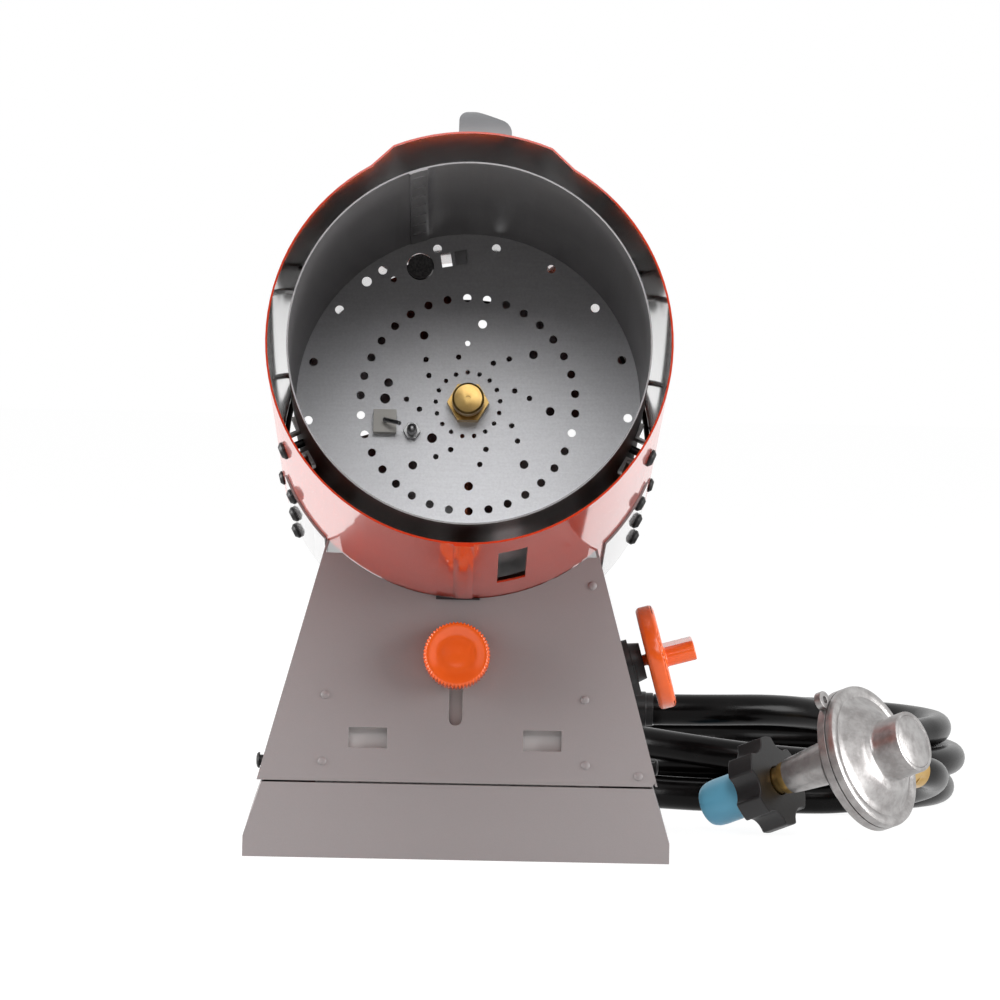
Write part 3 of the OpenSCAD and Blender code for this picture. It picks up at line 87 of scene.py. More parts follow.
def pixel(point):
    """Where a point of the frame falls in the picture, counted from its top left corner."""
    seen = camera.matrix_world.inverted() @ Vector(point)
    across, down = -seen.x / seen.z, seen.y / seen.z
    return (PICTURE / 2 + FOCAL_PIXELS * across, PICTURE / 2 + FOCAL_PIXELS * down)


camera = make_camera()
bpy.context.view_layer.update()
print("outlet centre at pixel", [round(v, 1) for v in pixel(OUTLET_CENTRE)])

# %% [markdown]
# ## The hose
# Gas hose is stiff rubber tube, 17 mm across. It leaves the ferrule on the heater's right side,
# drops onto a coil of nearly four turns, and comes out at the bottom of the coil to the regulator.
# Three turns are stacked and one lies on the floor inside them, so the table of the coil gives a
# turn, a radius and a height, and the hose keeps a diameter away from itself all the way round.
# Evenly spaced rings would be simpler, but a real hose crosses from one turn to the next. The
# run and the tail are smooth curves noted down as points, the same ones as in the CAD part, so
# that both models meet the same fittings.

# %% Route of the hose
HOSE_D = 0.017
RUN_POINTS = [
    (0.1063, 0.084, 0.066), (0.113, 0.084, 0.066), (0.129, 0.086, 0.066), (0.1472, 0.0908, 0.066),
    (0.1659, 0.0999, 0.0657),
    (0.1825, 0.1123, 0.0643), (0.1968, 0.1274, 0.0618), (0.2089, 0.1444, 0.0586),
    (0.2192, 0.1625, 0.055), (0.2281, 0.1813, 0.0513), (0.2361, 0.2005, 0.048),
    (0.2436, 0.220, 0.0451), (0.2512, 0.2393, 0.0432),
]
TAIL_POINTS = [
    (0.2511, 0.1016, 0.0337), (0.2571, 0.112, 0.0323), (0.2611, 0.1233, 0.0303),
    (0.263, 0.1351, 0.0278), (0.2627, 0.1471, 0.0252), (0.2603, 0.1589, 0.0223),
    (0.2557, 0.170, 0.0195), (0.2492, 0.1801, 0.0167), (0.2411, 0.1889, 0.0141),
    (0.2314, 0.196, 0.0119), (0.2206, 0.2013, 0.0102), (0.2091, 0.2045, 0.009),
    (0.1971, 0.2056, 0.0086), (0.1851, 0.2056, 0.0086), (0.1731, 0.2056, 0.0086),
]
COIL_CENTRE = Vector((0.172, 0.310, 0))
COIL_START = math.radians(-30)
# Each row is turns from the start, radius in mm and height in mm
COIL_TABLE = [
    (0.0, 102.5, 42.5), (0.083, 102.3, 42.5), (0.17, 102.6, 42.5), (0.25, 103.5, 42.5),
    (0.375, 105.5, 42.5), (0.5, 107, 42.5), (0.58, 107.4, 42.2), (0.66, 107.7, 40.4),
    (0.75, 108, 36), (0.84, 108.4, 30.2), (0.92, 108.8, 26.6), (1.0, 109.8, 25.6),
    (1.083, 110.6, 25.5), (1.17, 110.2, 25.5), (1.25, 108.3, 25.5), (1.375, 104, 25.5),
    (1.5, 99, 25.5), (1.6, 94.8, 25.6), (1.7, 90.6, 25.6), (1.77, 87.4, 25.6),
    (1.83, 83.9, 25.3), (1.875, 80.9, 23.2), (1.92, 79.6, 18.8), (1.96, 81.2, 13.2),
    (2.0, 83.6, 9.6), (2.05, 85, 8.6), (2.12, 86, 8.5), (2.25, 86.8, 8.5), (2.4, 87.4, 8.5),
    (2.55, 87.5, 8.5), (2.7, 87.1, 8.5), (2.79, 86.6, 8.5), (2.85, 87.6, 8.5), (2.9, 91.4, 8.5),
    (2.95, 96.6, 8.5), (3.0, 101.2, 8.5), (3.06, 104.2, 8.5), (3.14, 106, 8.5),
    (3.25, 106.4, 8.5), (3.4, 105.8, 8.5), (3.55, 105.2, 8.5), (3.7, 104.8, 8.5),
    (3.8, 104.5, 8.5),
]
TURN_STEP = 0.02
MM = 0.001
TABLE_STEPS, ROUTE_STEPS = 12, 3


def smoothed(points, per_span):
    """A Catmull-Rom curve through the points, with so many steps from each to the next."""
    ends = [points[0] * 2 - points[1]] + points + [points[-1] * 2 - points[-2]]
    path = []
    for a, b, c, d in zip(ends, ends[1:], ends[2:], ends[3:]):
        for i in range(per_span):
            t = i / per_span
            path.append(0.5 * (2 * b + (c - a) * t + (2 * a - 5 * b + 4 * c - d) * t * t
                               + (3 * b - a - 3 * c + d) * t * t * t))
    return path + [points[-1]]


def coil_points():
    """The table as points round the coil, anticlockwise from the top down, at even steps."""
    rows = smoothed([Vector(row) for row in COIL_TABLE], TABLE_STEPS)
    points = []
    for turned, radius, height in rows:
        if turned >= len(points) * TURN_STEP:
            angle = COIL_START + turned * math.tau
            points.append(COIL_CENTRE + MM * Vector(
                (radius * math.cos(angle), radius * math.sin(angle), height)))
    return points


route = [Vector(p) for p in RUN_POINTS] + coil_points() + [Vector(p) for p in reversed(TAIL_POINTS)]
hose_path = smoothed(route, ROUTE_STEPS)
hose_length = sum((b - a).length for a, b in zip(hose_path, hose_path[1:]))
print("hose:", len(route), "route points,", round(hose_length, 3), "m long")

# %% [markdown]
# ## The tube
# A Blender curve with a round section would give the same tube. On the real heater the hose bends
# where it meets the tilting body; here it is made as a mesh. A circle of points is set square to
# the route at each step, and each circle is bridged to the next. The side direction is carried
# along from step to step, so the tube never twists.

# %% Tube along a route
SOFT_BELOW = 40
HOSE_SIDES = 24


def new_piece(name, mesh_source, smooth_angle=None):
    """Turns a bmesh into an object at the origin, smooth where faces meet below the angle."""
    mesh = bpy.data.meshes.new(name)
    mesh_source.to_mesh(mesh)
    mesh_source.free()
    if smooth_angle is not None:
        mesh.shade_smooth()
        mesh.set_sharp_from_angle(angle=math.radians(smooth_angle))
    piece = bpy.data.objects.new(name, mesh)
    bpy.context.scene.collection.objects.link(piece)
    return piece


def tube(name, path, radius, sides):
    """Sweeps a circle along the path and closes both ends."""
    bm = bmesh.new()
    side = Vector((0, 0, 1)).cross(path[1] - path[0]).normalized()
    rings = []
    for i, point in enumerate(path):
        ahead = (path[min(i + 1, len(path) - 1)] - path[max(i - 1, 0)]).normalized()
        side = (side - ahead * side.dot(ahead)).normalized()
        up = ahead.cross(side)
        place = Matrix((side, up, ahead)).transposed().to_4x4()
        place.translation = point
        ring = bmesh.ops.create_circle(bm, segments=sides, radius=radius, matrix=place)["verts"]
        rings.append(sorted({e for v in ring for e in v.link_edges}, key=lambda e: e.index))
    for near, far in zip(rings, rings[1:]):
        bmesh.ops.bridge_loops(bm, edges=near + far)
    bmesh.ops.holes_fill(bm, edges=rings[0] + rings[-1], sides=sides)
    bmesh.ops.recalc_face_normals(bm, faces=bm.faces)
    return new_piece(name, bm, SOFT_BELOW)


hose = tube("gas_hose", hose_path, HOSE_D / 2, HOSE_SIDES)
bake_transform(hose)
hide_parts("hose_run", "hose_coil", "hose_tail")
print("gas_hose:", len(hose.data.polygons), "faces")

# %% [markdown]
# ## Materials as sums
# A finish is a small sum: a colour, plus some noise, where a mask says. Writing it with nodes by
# hand hides the sum among the wires. A socket wrapped in a class with plus, minus and times lets
# the sum be read, and it leaves the same nodes behind.

# %% Signals


class Signal:
    """A number or colour on its way through a material."""

    def __init__(self, finish, socket):
        self.finish, self.socket = finish, socket

    def _math(self, operation, *values):
        made = self.finish.node("ShaderNodeMath", {"operation": operation}, dict(enumerate(values)))
        return Signal(self.finish, made.outputs[0])

    def __add__(self, other):
        return self._math("ADD", self, other)

    def __sub__(self, other):
        return self._math("SUBTRACT", self, other)

    def __rsub__(self, other):
        return self._math("SUBTRACT", other, self)

    def __mul__(self, other):
        return self._math("MULTIPLY", self, other)

    __radd__, __rmul__ = __add__, __mul__

    def over(self, edge, blur):
        """1 where the number is above the edge, 0 below, with a soft step between."""
        made = self.finish.node(
            "ShaderNodeMapRange", {"interpolation_type": "SMOOTHSTEP"},
            {"Value": self, "From Min": edge - blur / 2, "From Max": edge + blur / 2})
        return Signal(self.finish, made.outputs["Result"])

    def under(self, edge, blur):
        return 1 - self.over(edge, blur)


print("a signal can:", [name.strip("_") for name, it in vars(Signal).items() if callable(it)])

# %% [markdown]
# ## A finish
# Every material starts empty and gets its nodes from one method, which takes the node's type, its
# settings and what goes into its sockets. The other methods are the few nodes that come back in
# every finish, so each finish further on is only a few lines.

# %% Finishes


class Finish:
    """A material being built. Its methods add nodes, and paint() sets the surface."""

    def __init__(self, name):
        self.material = bpy.data.materials.new(name)
        self.material.use_nodes = True
        self.tree = self.material.node_tree
        self.tree.nodes.clear()
        self.place = Signal(self, self.node("ShaderNodeTexCoord").outputs["Object"])

    def node(self, kind, settings=None, sockets=None):
        made = self.tree.nodes.new(kind)
        for key, value in (settings or {}).items():
            setattr(made, key, value)
        for key, value in (sockets or {}).items():
            if isinstance(value, Signal):
                self.tree.links.new(value.socket, made.inputs[key])
            else:
                made.inputs[key].default_value = value
        return made

    def noise(self, scale, detail, roughness=0.55, stretch=(1, 1, 1)):
        """Cloudy noise, its scale in clouds a metre. A high stretch thins it along an axis."""
        spread = self.node("ShaderNodeMapping", None, {"Vector": self.place, "Scale": stretch})
        made = self.node("ShaderNodeTexNoise", None, {
            "Vector": Signal(self, spread.outputs[0]), "Scale": scale, "Detail": detail,
            "Roughness": roughness})
        return Signal(self, made.outputs["Fac"])

    def axis(self, letter, of="Object"):
        """One coordinate of the place on the piece, or of the way its surface faces."""
        whole = self.node("ShaderNodeTexCoord").outputs[of]
        parts = self.node("ShaderNodeSeparateXYZ", None, {0: Signal(self, whole)})
        return Signal(self, parts.outputs[letter])

    def mix(self, share, first, second):
        """The first colour where the share is 0 and the second where it is 1."""
        made = self.node("ShaderNodeMix", {"data_type": "RGBA"}, {0: share, 6: first, 7: second})
        return Signal(self, made.outputs[2])

    def paint(self, bump=None, bump_depth=0.0, **sockets):
        """Feeds the surface's sockets, named in small letters, and lays the bump over it."""
        surface = self.node("ShaderNodeBsdfPrincipled", None, {
            key.replace("_", " ").title().replace("Ior", "IOR"): value
            for key, value in sockets.items()})
        if bump is not None:
            relief = self.node("ShaderNodeBump", None, {
                "Strength": 1.0, "Distance": bump_depth, "Height": bump})
            self.tree.links.new(relief.outputs[0], surface.inputs["Normal"])
        output = self.node("ShaderNodeOutputMaterial")
        self.tree.links.new(surface.outputs[0], output.inputs[0])
        return self.material


print("a finish can:", [name.strip("_") for name, it in vars(Finish).items() if callable(it)])

# %% [markdown]
# ## Colours
# Paint charts and screens give a colour as three levels of 0 to 255, spaced as the eye sees them.
# Blender reckons in amounts of light, so each level is turned into one.

# %% Colours


def linear(level):
    """A screen level, 0 to 255, as the light that it stands for."""
    share = level / 255
    return share / 12.92 if level <= 10 else ((share + 0.055) / 1.055) ** 2.4


def colour(red, green, blue):
    """A paint-chart colour as the linear light that Blender works in."""
    return (linear(red), linear(green), linear(blue), 1)


print("half grey on a paint chart is", round(linear(128), 3), "of white's light")

# %% [markdown]
# ## Painted sheet metal
# The drum wears a hard gloss enamel and the pedestal a flatter grey. Enamel is colour under a
# clear skin: the coat keeps the highlights sharp while the colour below varies a little. The side
# panels get that skin too, because their saddle flanges are seen nearly edge-on, where even a
# dull paint mirrors what stands behind it. A fine bump breaks up the reflections as sprayed paint
# does.

# %% Paints
DRUM_PITCH = math.radians(10)
HALF_DRUM_R = 0.05


def drum_enamel():
    """Orange outside. The inside, between the drum and the chamber, is painted shade: a dark brown
    streaked with lighter orange along the drum.
    """
    f = Finish("drum_enamel")
    lean, rise = math.sin(DRUM_PITCH), math.cos(DRUM_PITCH)
    across = f.axis("X") - OUTLET_CENTRE.x
    above = (f.axis("Y") - OUTLET_CENTRE.y) * lean + (f.axis("Z") - OUTLET_CENTRE.z) * rise
    up_facing = f.axis("Y", "Normal") * lean + f.axis("Z", "Normal") * rise
    facing = f.axis("X", "Normal") * across + up_facing * above
    inside = facing.under(-HALF_DRUM_R, 0.02)
    cloud = f.noise(9, 4)
    grain = f.noise(900, 2)
    streaks = f.noise(42, 3, stretch=(1, 0.05, 1))
    outside = f.mix(cloud.over(0.5, 0.5), colour(166, 40, 6), colour(178, 46, 9))
    # Painted shade: the inside of the drum gets a dark brown, streaked with lighter orange.
    painted_shade = f.mix(streaks.over(0.52, 0.25), colour(80, 24, 13), colour(226, 92, 48))
    return f.paint(
        bump=f.noise(180, 2), bump_depth=0.00001,
        base_color=f.mix(inside, outside, painted_shade),
        roughness=0.26 + grain * 0.05 - inside * 0.12,
        coat_weight=0.7 + inside * 0.22, coat_roughness=0.04, specular_ior_level=0.1)


def panel_enamel(name, gloss):
    """Grey sprayed enamel. The gloss, 0 to 1, is how much clear skin lies over it."""
    f = Finish(name)
    cloud = f.noise(6, 4)
    speck = f.noise(1400, 2)
    base = f.mix(cloud * 0.5 + speck * 0.5, colour(121, 116, 116), colour(131, 127, 127))
    return f.paint(
        bump=f.noise(1100, 3), bump_depth=0.00004 * (1 - gloss),
        base_color=base, roughness=0.42 - 0.2 * gloss + speck * 0.12,
        coat_weight=gloss, coat_roughness=0.05)


def shaded_plate():
    """The plate behind the slot and windows: painted light against the shade of the recess, and
    painted shade near the edges of the sheet before it.
    """
    f = Finish("shaded_plate")
    near = f.node("ShaderNodeAmbientOcclusion", {"samples": 8}, {"Distance": 0.004})
    # Painted shade: an ambient occlusion mask darkens the plate close to the edges of the slot and
    # windows.
    edge_shade = Signal(f, near.outputs["AO"]).over(0.5, 0.6)
    # Painted light: the plate's colour is lighter than its galvanised sheet, to make up for the
    # shade it sits in.
    paint = f.mix(f.noise(60, 4), colour(200, 195, 194), colour(210, 206, 205))
    return f.paint(base_color=f.mix(edge_shade, colour(34, 31, 31), paint), roughness=0.45)


side_enamel = panel_enamel("side_enamel", 1.0)
FINISHES = {"drum_paint": drum_enamel(), "panel_paint": panel_enamel("panel_enamel", 0.0)}
NODE_FINISHES = {
    "left_side_panel": side_enamel, "right_side_panel": side_enamel, "tilt_plate": shaded_plate()}
print("paints:", sorted(FINISHES), "and on single pieces", sorted(NODE_FINISHES))

# %% [markdown]
# ## Sheet metal
# Galvanised sheet is dull and crystalline. The disc and the chamber are the same sheet, but they
# have finishes of their own with painted shade: the disc darkens towards its top, and the chamber
# is a darker grey. The lines that rolling leaves are noise stretched along one axis, which needs no
# picture of the metal.

# %% Sheet metals


def galvanised():
    f = Finish("galvanised")
    grain = f.noise(650, 4, 0.65)
    patch = f.noise(16, 4)
    rolled = f.noise(60, 3, stretch=(1, 1, 14))
    shade = grain * 0.4 + patch * 0.4 + rolled * 0.2
    base = f.mix(shade.over(0.5, 0.5), colour(166, 167, 170), colour(200, 201, 205))
    return f.paint(
        bump=grain, bump_depth=0.00003,
        base_color=base, metallic=0.45, roughness=0.36 + shade * 0.14)


def burner_sheet():
    """The disc: brushed sheet, pale at the bottom, with painted shade over the upper part that the
    chamber's rim shades.
    """
    f = Finish("burner_sheet")
    grain = f.noise(800, 4, 0.65)
    patch = f.noise(9, 4)
    brushed = f.noise(60, 3, stretch=(1, 1, 14))
    shade = grain * 0.45 + patch * 0.35 + brushed * 0.2
    unshaded = f.mix(shade.over(0.5, 0.5), colour(222, 222, 225), colour(244, 245, 248))
    # Painted shade: the disc turns darker above a height, as the chamber's rim shades its upper
    # part.
    painted_shade = f.mix(shade.over(0.5, 0.5), colour(136, 134, 135), colour(162, 160, 162))
    base = f.mix(f.axis("Z").over(0.268, 0.11), unshaded, painted_shade)
    return f.paint(
        bump=grain, bump_depth=0.00002,
        base_color=base, metallic=0.35, roughness=0.34 + shade * 0.1)


def chamber_sheet():
    """A dull grey darker than the galvanised sheet, painted shade for a wall that faces inwards,
    with faint rolling lines round it.
    """
    f = Finish("chamber_sheet")
    grain = f.noise(650, 4, 0.65)
    rolled = f.noise(60, 3, stretch=(1, 14, 1))
    shade = grain * 0.4 + f.noise(14, 4) * 0.35 + rolled * 0.25
    # Painted shade: the chamber's grey is darker than the galvanised sheet it is made of.
    base = f.mix(shade.over(0.5, 0.5), colour(112, 110, 111), colour(140, 138, 139))
    return f.paint(
        bump=grain, bump_depth=0.00002,
        base_color=base, metallic=0.6, roughness=0.34 + shade * 0.1)


def fan_sheet():
    f = Finish("fan_sheet")
    roll = f.noise(60, 3, stretch=(1, 14, 1))
    base = f.mix(roll, colour(165, 166, 168), colour(200, 201, 203))
    return f.paint(base_color=base, metallic=1.0, roughness=0.3 + roll * 0.15)


SHEETS = {"galvanised": galvanised(), "fan_metal": fan_sheet()}
FINISHES.update(SHEETS)
NODE_FINISHES.update({"burner_disc": burner_sheet(), "combustion_chamber": chamber_sheet()})
# The two printed as hot are the disc and the chamber, whose darker tones are painted shade.
print("sheet metals:", sorted(SHEETS), "and two that have been hot")

# %% [markdown]
# ## Plated and turned metal
# Screws and nuts are zinc plated, which is pale, or blackened. The brass fittings are turned to a
# soft shine with fine rings, and the gas pipes are copper that has begun to tarnish.

# %% Plated and turned metals


def zinc_plate():
    f = Finish("zinc_plate")
    grain = f.noise(500, 3)
    base = f.mix(grain, colour(150, 150, 150), colour(188, 189, 190))
    return f.paint(
        bump=grain, bump_depth=0.00002,
        base_color=base, metallic=1.0, roughness=0.28 + grain * 0.1)


def black_oxide():
    f = Finish("black_oxide")
    grain = f.noise(700, 3)
    base = f.mix(grain, colour(18, 18, 19), colour(40, 39, 39))
    return f.paint(
        bump=grain, bump_depth=0.00003,
        base_color=base, metallic=0.6, roughness=0.32 + grain * 0.12)


def turned_brass():
    f = Finish("turned_brass")
    rings = f.noise(30, 3, stretch=(6, 60, 6))
    tarnish = f.noise(90, 4)
    base = f.mix(tarnish.over(0.5, 0.5), colour(176, 142, 84), colour(206, 174, 112))
    return f.paint(
        bump=rings, bump_depth=0.00002,
        base_color=base, metallic=1.0, roughness=0.24 + tarnish * 0.14)


def copper_tube():
    f = Finish("copper_tube")
    tarnish = f.noise(60, 4)
    base = f.mix(tarnish, colour(150, 84, 58), colour(202, 130, 98))
    return f.paint(base_color=base, metallic=1.0, roughness=0.28 + tarnish * 0.15)


FITTINGS = {
    "zinc_plate": zinc_plate(), "blackened": black_oxide(), "brass_metal": turned_brass(),
    "copper_pipe": copper_tube()}
FINISHES.update(FITTINGS)
print("fittings:", sorted(FITTINGS))

# %% [markdown]
# ## Cast and pressed metal
# The regulator is die-cast, so it has a grainy skin under its shine. The strips that hold the
# chamber and the motor are pressed sheet, coloured near-white as a painted reflection of the white
# around them, and the limit switch is dull steel. A slot can hold pieces that look unlike, so the
# strips and the switch get their finish by node.

# %% Cast and pressed metals


def cast_alloy():
    f = Finish("cast_alloy")
    skin = f.noise(620, 4)
    mottle = f.noise(130, 5, 0.65)
    base = f.mix(mottle.over(0.5, 0.4), colour(138, 135, 134), colour(168, 166, 165))
    return f.paint(
        bump=skin * 0.8 + mottle * 0.2, bump_depth=0.00006,
        base_color=base, metallic=0.85, roughness=0.3 + mottle * 0.12)


def strip_painted_reflection():
    f = Finish("strip_painted_reflection")
    grain = f.noise(400, 3)
    # Painted reflection: a near-white colour stands in for the white that the strips would mirror.
    base = f.mix(grain, colour(232, 230, 230), colour(248, 246, 246))
    return f.paint(
        bump=grain, bump_depth=0.00002, base_color=base, metallic=0.15, roughness=0.22)


def dull_steel():
    f = Finish("dull_steel")
    grain = f.noise(900, 3)
    base = f.mix(grain.over(0.5, 0.4), colour(52, 50, 50), colour(84, 82, 82))
    return f.paint(
        bump=grain, bump_depth=0.00005,
        base_color=base, metallic=0.5, roughness=0.4 + grain * 0.1)


FINISHES["cast_alloy"] = cast_alloy()
strip = strip_painted_reflection()
NODE_FINISHES.update({
    "chamber_spacers": strip, "motor_bracket": strip, "limit_switch": dull_steel()})
print("finishes so far:", sorted(FINISHES))

# %% [markdown]
# ## Plastics and rubber
# Moulded plastic is one colour all through, so its interest is in its skin: a faint texture from
# the mould and a soft wide highlight. One function makes them all from two shades, a roughness and
# the grain of the mould. Rubber hose is nearly black with a dull, slightly dusty sheen.

# %% Plastics, rubber and ceramic


def moulded(name, dark, light, roughness, texture, depth):
    """Plastic or glaze. The texture is in grains a metre and the depth in metres."""
    f = Finish(name)
    cloud = f.noise(40, 3)
    skin = f.noise(texture, 2)
    base = f.mix(cloud, dark, light)
    return f.paint(
        bump=skin, bump_depth=depth, base_color=base, roughness=roughness + skin * 0.08)


def hose_rubber():
    f = Finish("hose_rubber")
    dust = f.noise(70, 5)
    skin = f.noise(600, 3)
    base = f.mix(dust.over(0.6, 0.3), colour(5, 4, 4), colour(13, 12, 12))
    return f.paint(
        bump=skin, bump_depth=0.00004,
        base_color=base, roughness=0.18 + dust * 0.12, specular_ior_level=0.11)


MOULDED = {
    "knob_plastic": (colour(212, 84, 24), colour(222, 93, 30), 0.16, 300, 0.00002),
    "handle_plastic": (colour(108, 109, 111), colour(124, 125, 127), 0.4, 900, 0.00005),
    "black_plastic": (colour(20, 19, 20), colour(30, 29, 30), 0.4, 800, 0.00006),
    "button_plastic": (colour(168, 22, 18), colour(184, 30, 24), 0.25, 400, 0.00002),
    "ceramic": (colour(226, 222, 212), colour(238, 235, 228), 0.2, 300, 0.00003),
    "cap_plastic": (colour(110, 192, 226), colour(124, 204, 236), 0.35, 500, 0.00004),
}
FINISHES["hose_rubber"] = hose_rubber()
FINISHES.update({name: moulded(name, *look) for name, look in MOULDED.items()})
print("finishes:", len(FINISHES), "by slot and", len(NODE_FINISHES), "for single pieces")

# %% [markdown]
# ## Dressing the CAD pieces
# A CAD piece arrives as loose triangles with knife-sharp edges. Real sheet and castings have a
# small radius on every edge, and that radius is what catches the light. A copy of the mesh is
# merged, its flats are joined back into single faces, and a bevel rounds what is still sharp.

# %% Dressing
SLOT_OF = {part["node"]: part["material_slot"] for part in frame["record"]["subparts"]}
BODIES = frame["record"]["behaviour"]["bodies"]
BODY_OF = {node: body for body, nodes in BODIES.items() for node in nodes}
SHARP_EDGE = 0.0003
SAME_POINT = 1e-6
FLAT_BELOW = math.radians(0.5)


def finish_piece(piece, slot, finish=None):
    """Gives a piece the finish of its slot, or one of its own."""
    piece.data.materials.clear()
    piece.data.materials.append(finish or FINISHES[slot])


def dressed(node, edge, segments=2, angle=35):
    """A copy of a CAD node with merged faces and edges of the given radius, in its place."""
    bm = bmesh.new()
    bm.from_mesh(frame["nodes"][node].data)
    bmesh.ops.remove_doubles(bm, verts=bm.verts, dist=SAME_POINT)
    bmesh.ops.dissolve_limit(bm, angle_limit=FLAT_BELOW, verts=bm.verts, edges=bm.edges)
    piece = new_piece("dressed_" + node, bm, angle)
    bevel = piece.modifiers.new("edges", "BEVEL")
    bevel.width, bevel.segments = edge, segments
    bevel.limit_method, bevel.angle_limit = "ANGLE", math.radians(angle)
    bevel.use_clamp_overlap, bevel.harden_normals = True, True
    finish_piece(piece, SLOT_OF[node], NODE_FINISHES.get(node))
    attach(piece, BODY_OF[node])
    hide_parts(node)
    return piece


# %% [markdown]
# ## Turned on a lathe
# The regulator's bonnet is one smooth curve from its flange to its cap. Triangles from the CAD
# break a highlight on such a dish into rays, and a bevel can't mend that, so the bonnet is spun
# here from a rounded outline. Outlines are in millimetres, as radius and height.

# %% Regulator bonnet
REGULATOR_AT = Vector((0.2212, 0.038, 0.04521))
REGULATOR_TURN, REGULATOR_LEAN = math.radians(-33), math.radians(69.2)
BONNET_FLANGE = [
    (0, 0), (39, 0), (39.6, 0.5), (39.7, 1.2), (39.7, 3.6), (39.3, 4.7), (38.2, 5.3), (36.2, 5.4),
    (35, 5.2), (34, 4.6)]
BONNET_DISH = [
    (33.4, 4.5), (32.6, 4.9), (30.6, 5.8), (28, 7.8), (25, 10.3), (22.4, 12.2), (19.8, 13.3),
    (18, 14.3), (17.2, 15.8), (17, 17.6)]
BONNET_CAP = [
    (17, 24), (17, 29.8), (16.8, 30.6), (16.1, 31), (15, 31), (14.6, 30.6), (14.2, 30.9), (0, 30.9)]
OUTLINE_STEPS, BONNET_STEPS = 4, 144


def placed(at, *turns):
    """The place reached by a move and then turns, each turn an angle and an axis."""
    place = Matrix.Translation(at)
    for angle, axis in turns:
        place = place @ Matrix.Rotation(angle, 4, axis)
    return place


def rounded(outline):
    """The same outline as a smooth curve."""
    curve = smoothed([Vector((*point, 0)) for point in outline], OUTLINE_STEPS)
    return [tuple(point)[:2] for point in curve]


def lathe(name, outline, place, steps, worked=None):
    """Spins an outline about the upright axis of the place. worked(bm) may shape it first."""
    bm = bmesh.new()
    points = [bm.verts.new((MM * radius, 0, MM * height)) for radius, height in outline]
    wire = [bm.edges.new(pair) for pair in zip(points, points[1:])]
    bmesh.ops.spin(bm, geom=points + wire, cent=(0, 0, 0), axis=(0, 0, 1), angle=math.tau,
                   steps=steps, use_merge=True)
    bmesh.ops.remove_doubles(bm, verts=bm.verts, dist=SAME_POINT)
    bmesh.ops.recalc_face_normals(bm, faces=bm.faces)
    if worked:
        worked(bm)
    bmesh.ops.transform(bm, matrix=place, verts=bm.verts)
    return new_piece(name, bm, SOFT_BELOW)


def stand_for(piece, node):
    """Lets a piece built here take the place of a CAD node."""
    finish_piece(piece, SLOT_OF[node])
    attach(piece, BODY_OF[node])
    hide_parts(node)
    return piece


regulator_place = placed(REGULATOR_AT, (REGULATOR_TURN, "Z"), (REGULATOR_LEAN, "Y"))
bonnet_outline = BONNET_FLANGE + rounded(BONNET_DISH) + BONNET_CAP
bonnet = stand_for(
    lathe("bonnet", bonnet_outline, regulator_place, BONNET_STEPS), "regulator_bonnet")
print("bonnet:", len(bonnet.data.polygons), "faces")

# %% [markdown]
# The tilt knob is spun too. Its face is a shallow dish with a low dome in the middle, and the
# knurls are pressed into its rim afterwards, by moving each point of the rim inwards in waves.
# Cutting each groove with a boolean would leave slivers where the grooves run out.

# %% Tilt knob
STUD_AT, PANEL_LEAN = Vector((-0.0015, -0.094678, 0.104)), math.radians(78)
KNOB_GAP = Vector((0, 0, 0.0004))
KNOB_BACK = [(0, 11), (3.1, 11), (3.1, 0), (12.6, 0), (16.4, 1.9), (17.3, 3), (17.5, 3.8)]
KNOB_RIM = [
    (17.5, 11.6), (17.4, 13), (16.9, 14.2), (16, 14.9), (14.8, 14.9), (13.2, 14.4), (11.4, 13.7),
    (9.6, 13.3), (7.4, 13.4), (4.8, 13.9), (2.4, 14.2), (0, 14.3)]
KNOB_R = 0.0175
KNURLS, KNURL_DEPTH, KNURL_FROM = 56, 0.0008, 0.0152
STEPS_A_KNURL = 8


def knurl(bm):
    """Presses waves into the rim, deepest at its outer edge."""
    for vert in bm.verts:
        reach = math.hypot(vert.co.x, vert.co.y)
        if reach > KNURL_FROM:
            wave = 0.5 - 0.5 * math.cos(KNURLS * math.atan2(vert.co.y, vert.co.x))
            depth = KNURL_DEPTH * wave * (reach - KNURL_FROM) / (KNOB_R - KNURL_FROM)
            vert.co.x *= 1 - depth / reach
            vert.co.y *= 1 - depth / reach


knob_place = placed(STUD_AT, (PANEL_LEAN, "X")) @ Matrix.Translation(KNOB_GAP)
knob_outline = KNOB_BACK + rounded(KNOB_RIM)
knob = stand_for(
    lathe("knob", knob_outline, knob_place, KNURLS * STEPS_A_KNURL, knurl), "tilt_knob")
print("knob:", len(knob.data.polygons), "faces")

# %% [markdown]
# ## Every other piece
# The other nodes keep their CAD shape. Folded sheet gets a tight edge, and moulded plastic and
# castings a wider one, because that is what the press and the mould leave on the real pieces.

# %% Dress the rest
BUILT_HERE = ("hose_run", "hose_coil", "hose_tail", "regulator_bonnet", "tilt_knob")
EDGES = {
    "base_tray": 0.0006, "front_panel": 0.0004, "left_side_panel": 0.0004,
    "right_side_panel": 0.0004, "rear_panel": 0.0004, "handle": 0.0022, "gas_knob": 0.0008,
    "regulator_body": 0.0008, "handwheel": 0.0016, "dust_cap": 0.0006,
}
dressed_pieces = {
    node: dressed(node, EDGES.get(node, SHARP_EDGE))
    for node in frame["nodes"] if node not in BUILT_HERE}
dressed_pieces["regulator_bonnet"] = bonnet
finish_piece(hose, "hose_rubber")
print("dressed:", len(dressed_pieces), "pieces")

# %% [markdown]

# %% [markdown]
# ## Studio floor
# The studio is a white sweep with large soft lamps. Enough light would turn any floor white, but
# it would bleach the heater too. So the floor is mixed with plain white for the camera and for
# mirror images only, and it keeps a light shadow.

# %% Floor
FLOOR_REACH, FLOOR_SHADE = 6, 0.9
FLOOR_GLOW, FLOOR_GLOW_SHARE = 1.15, 0.82


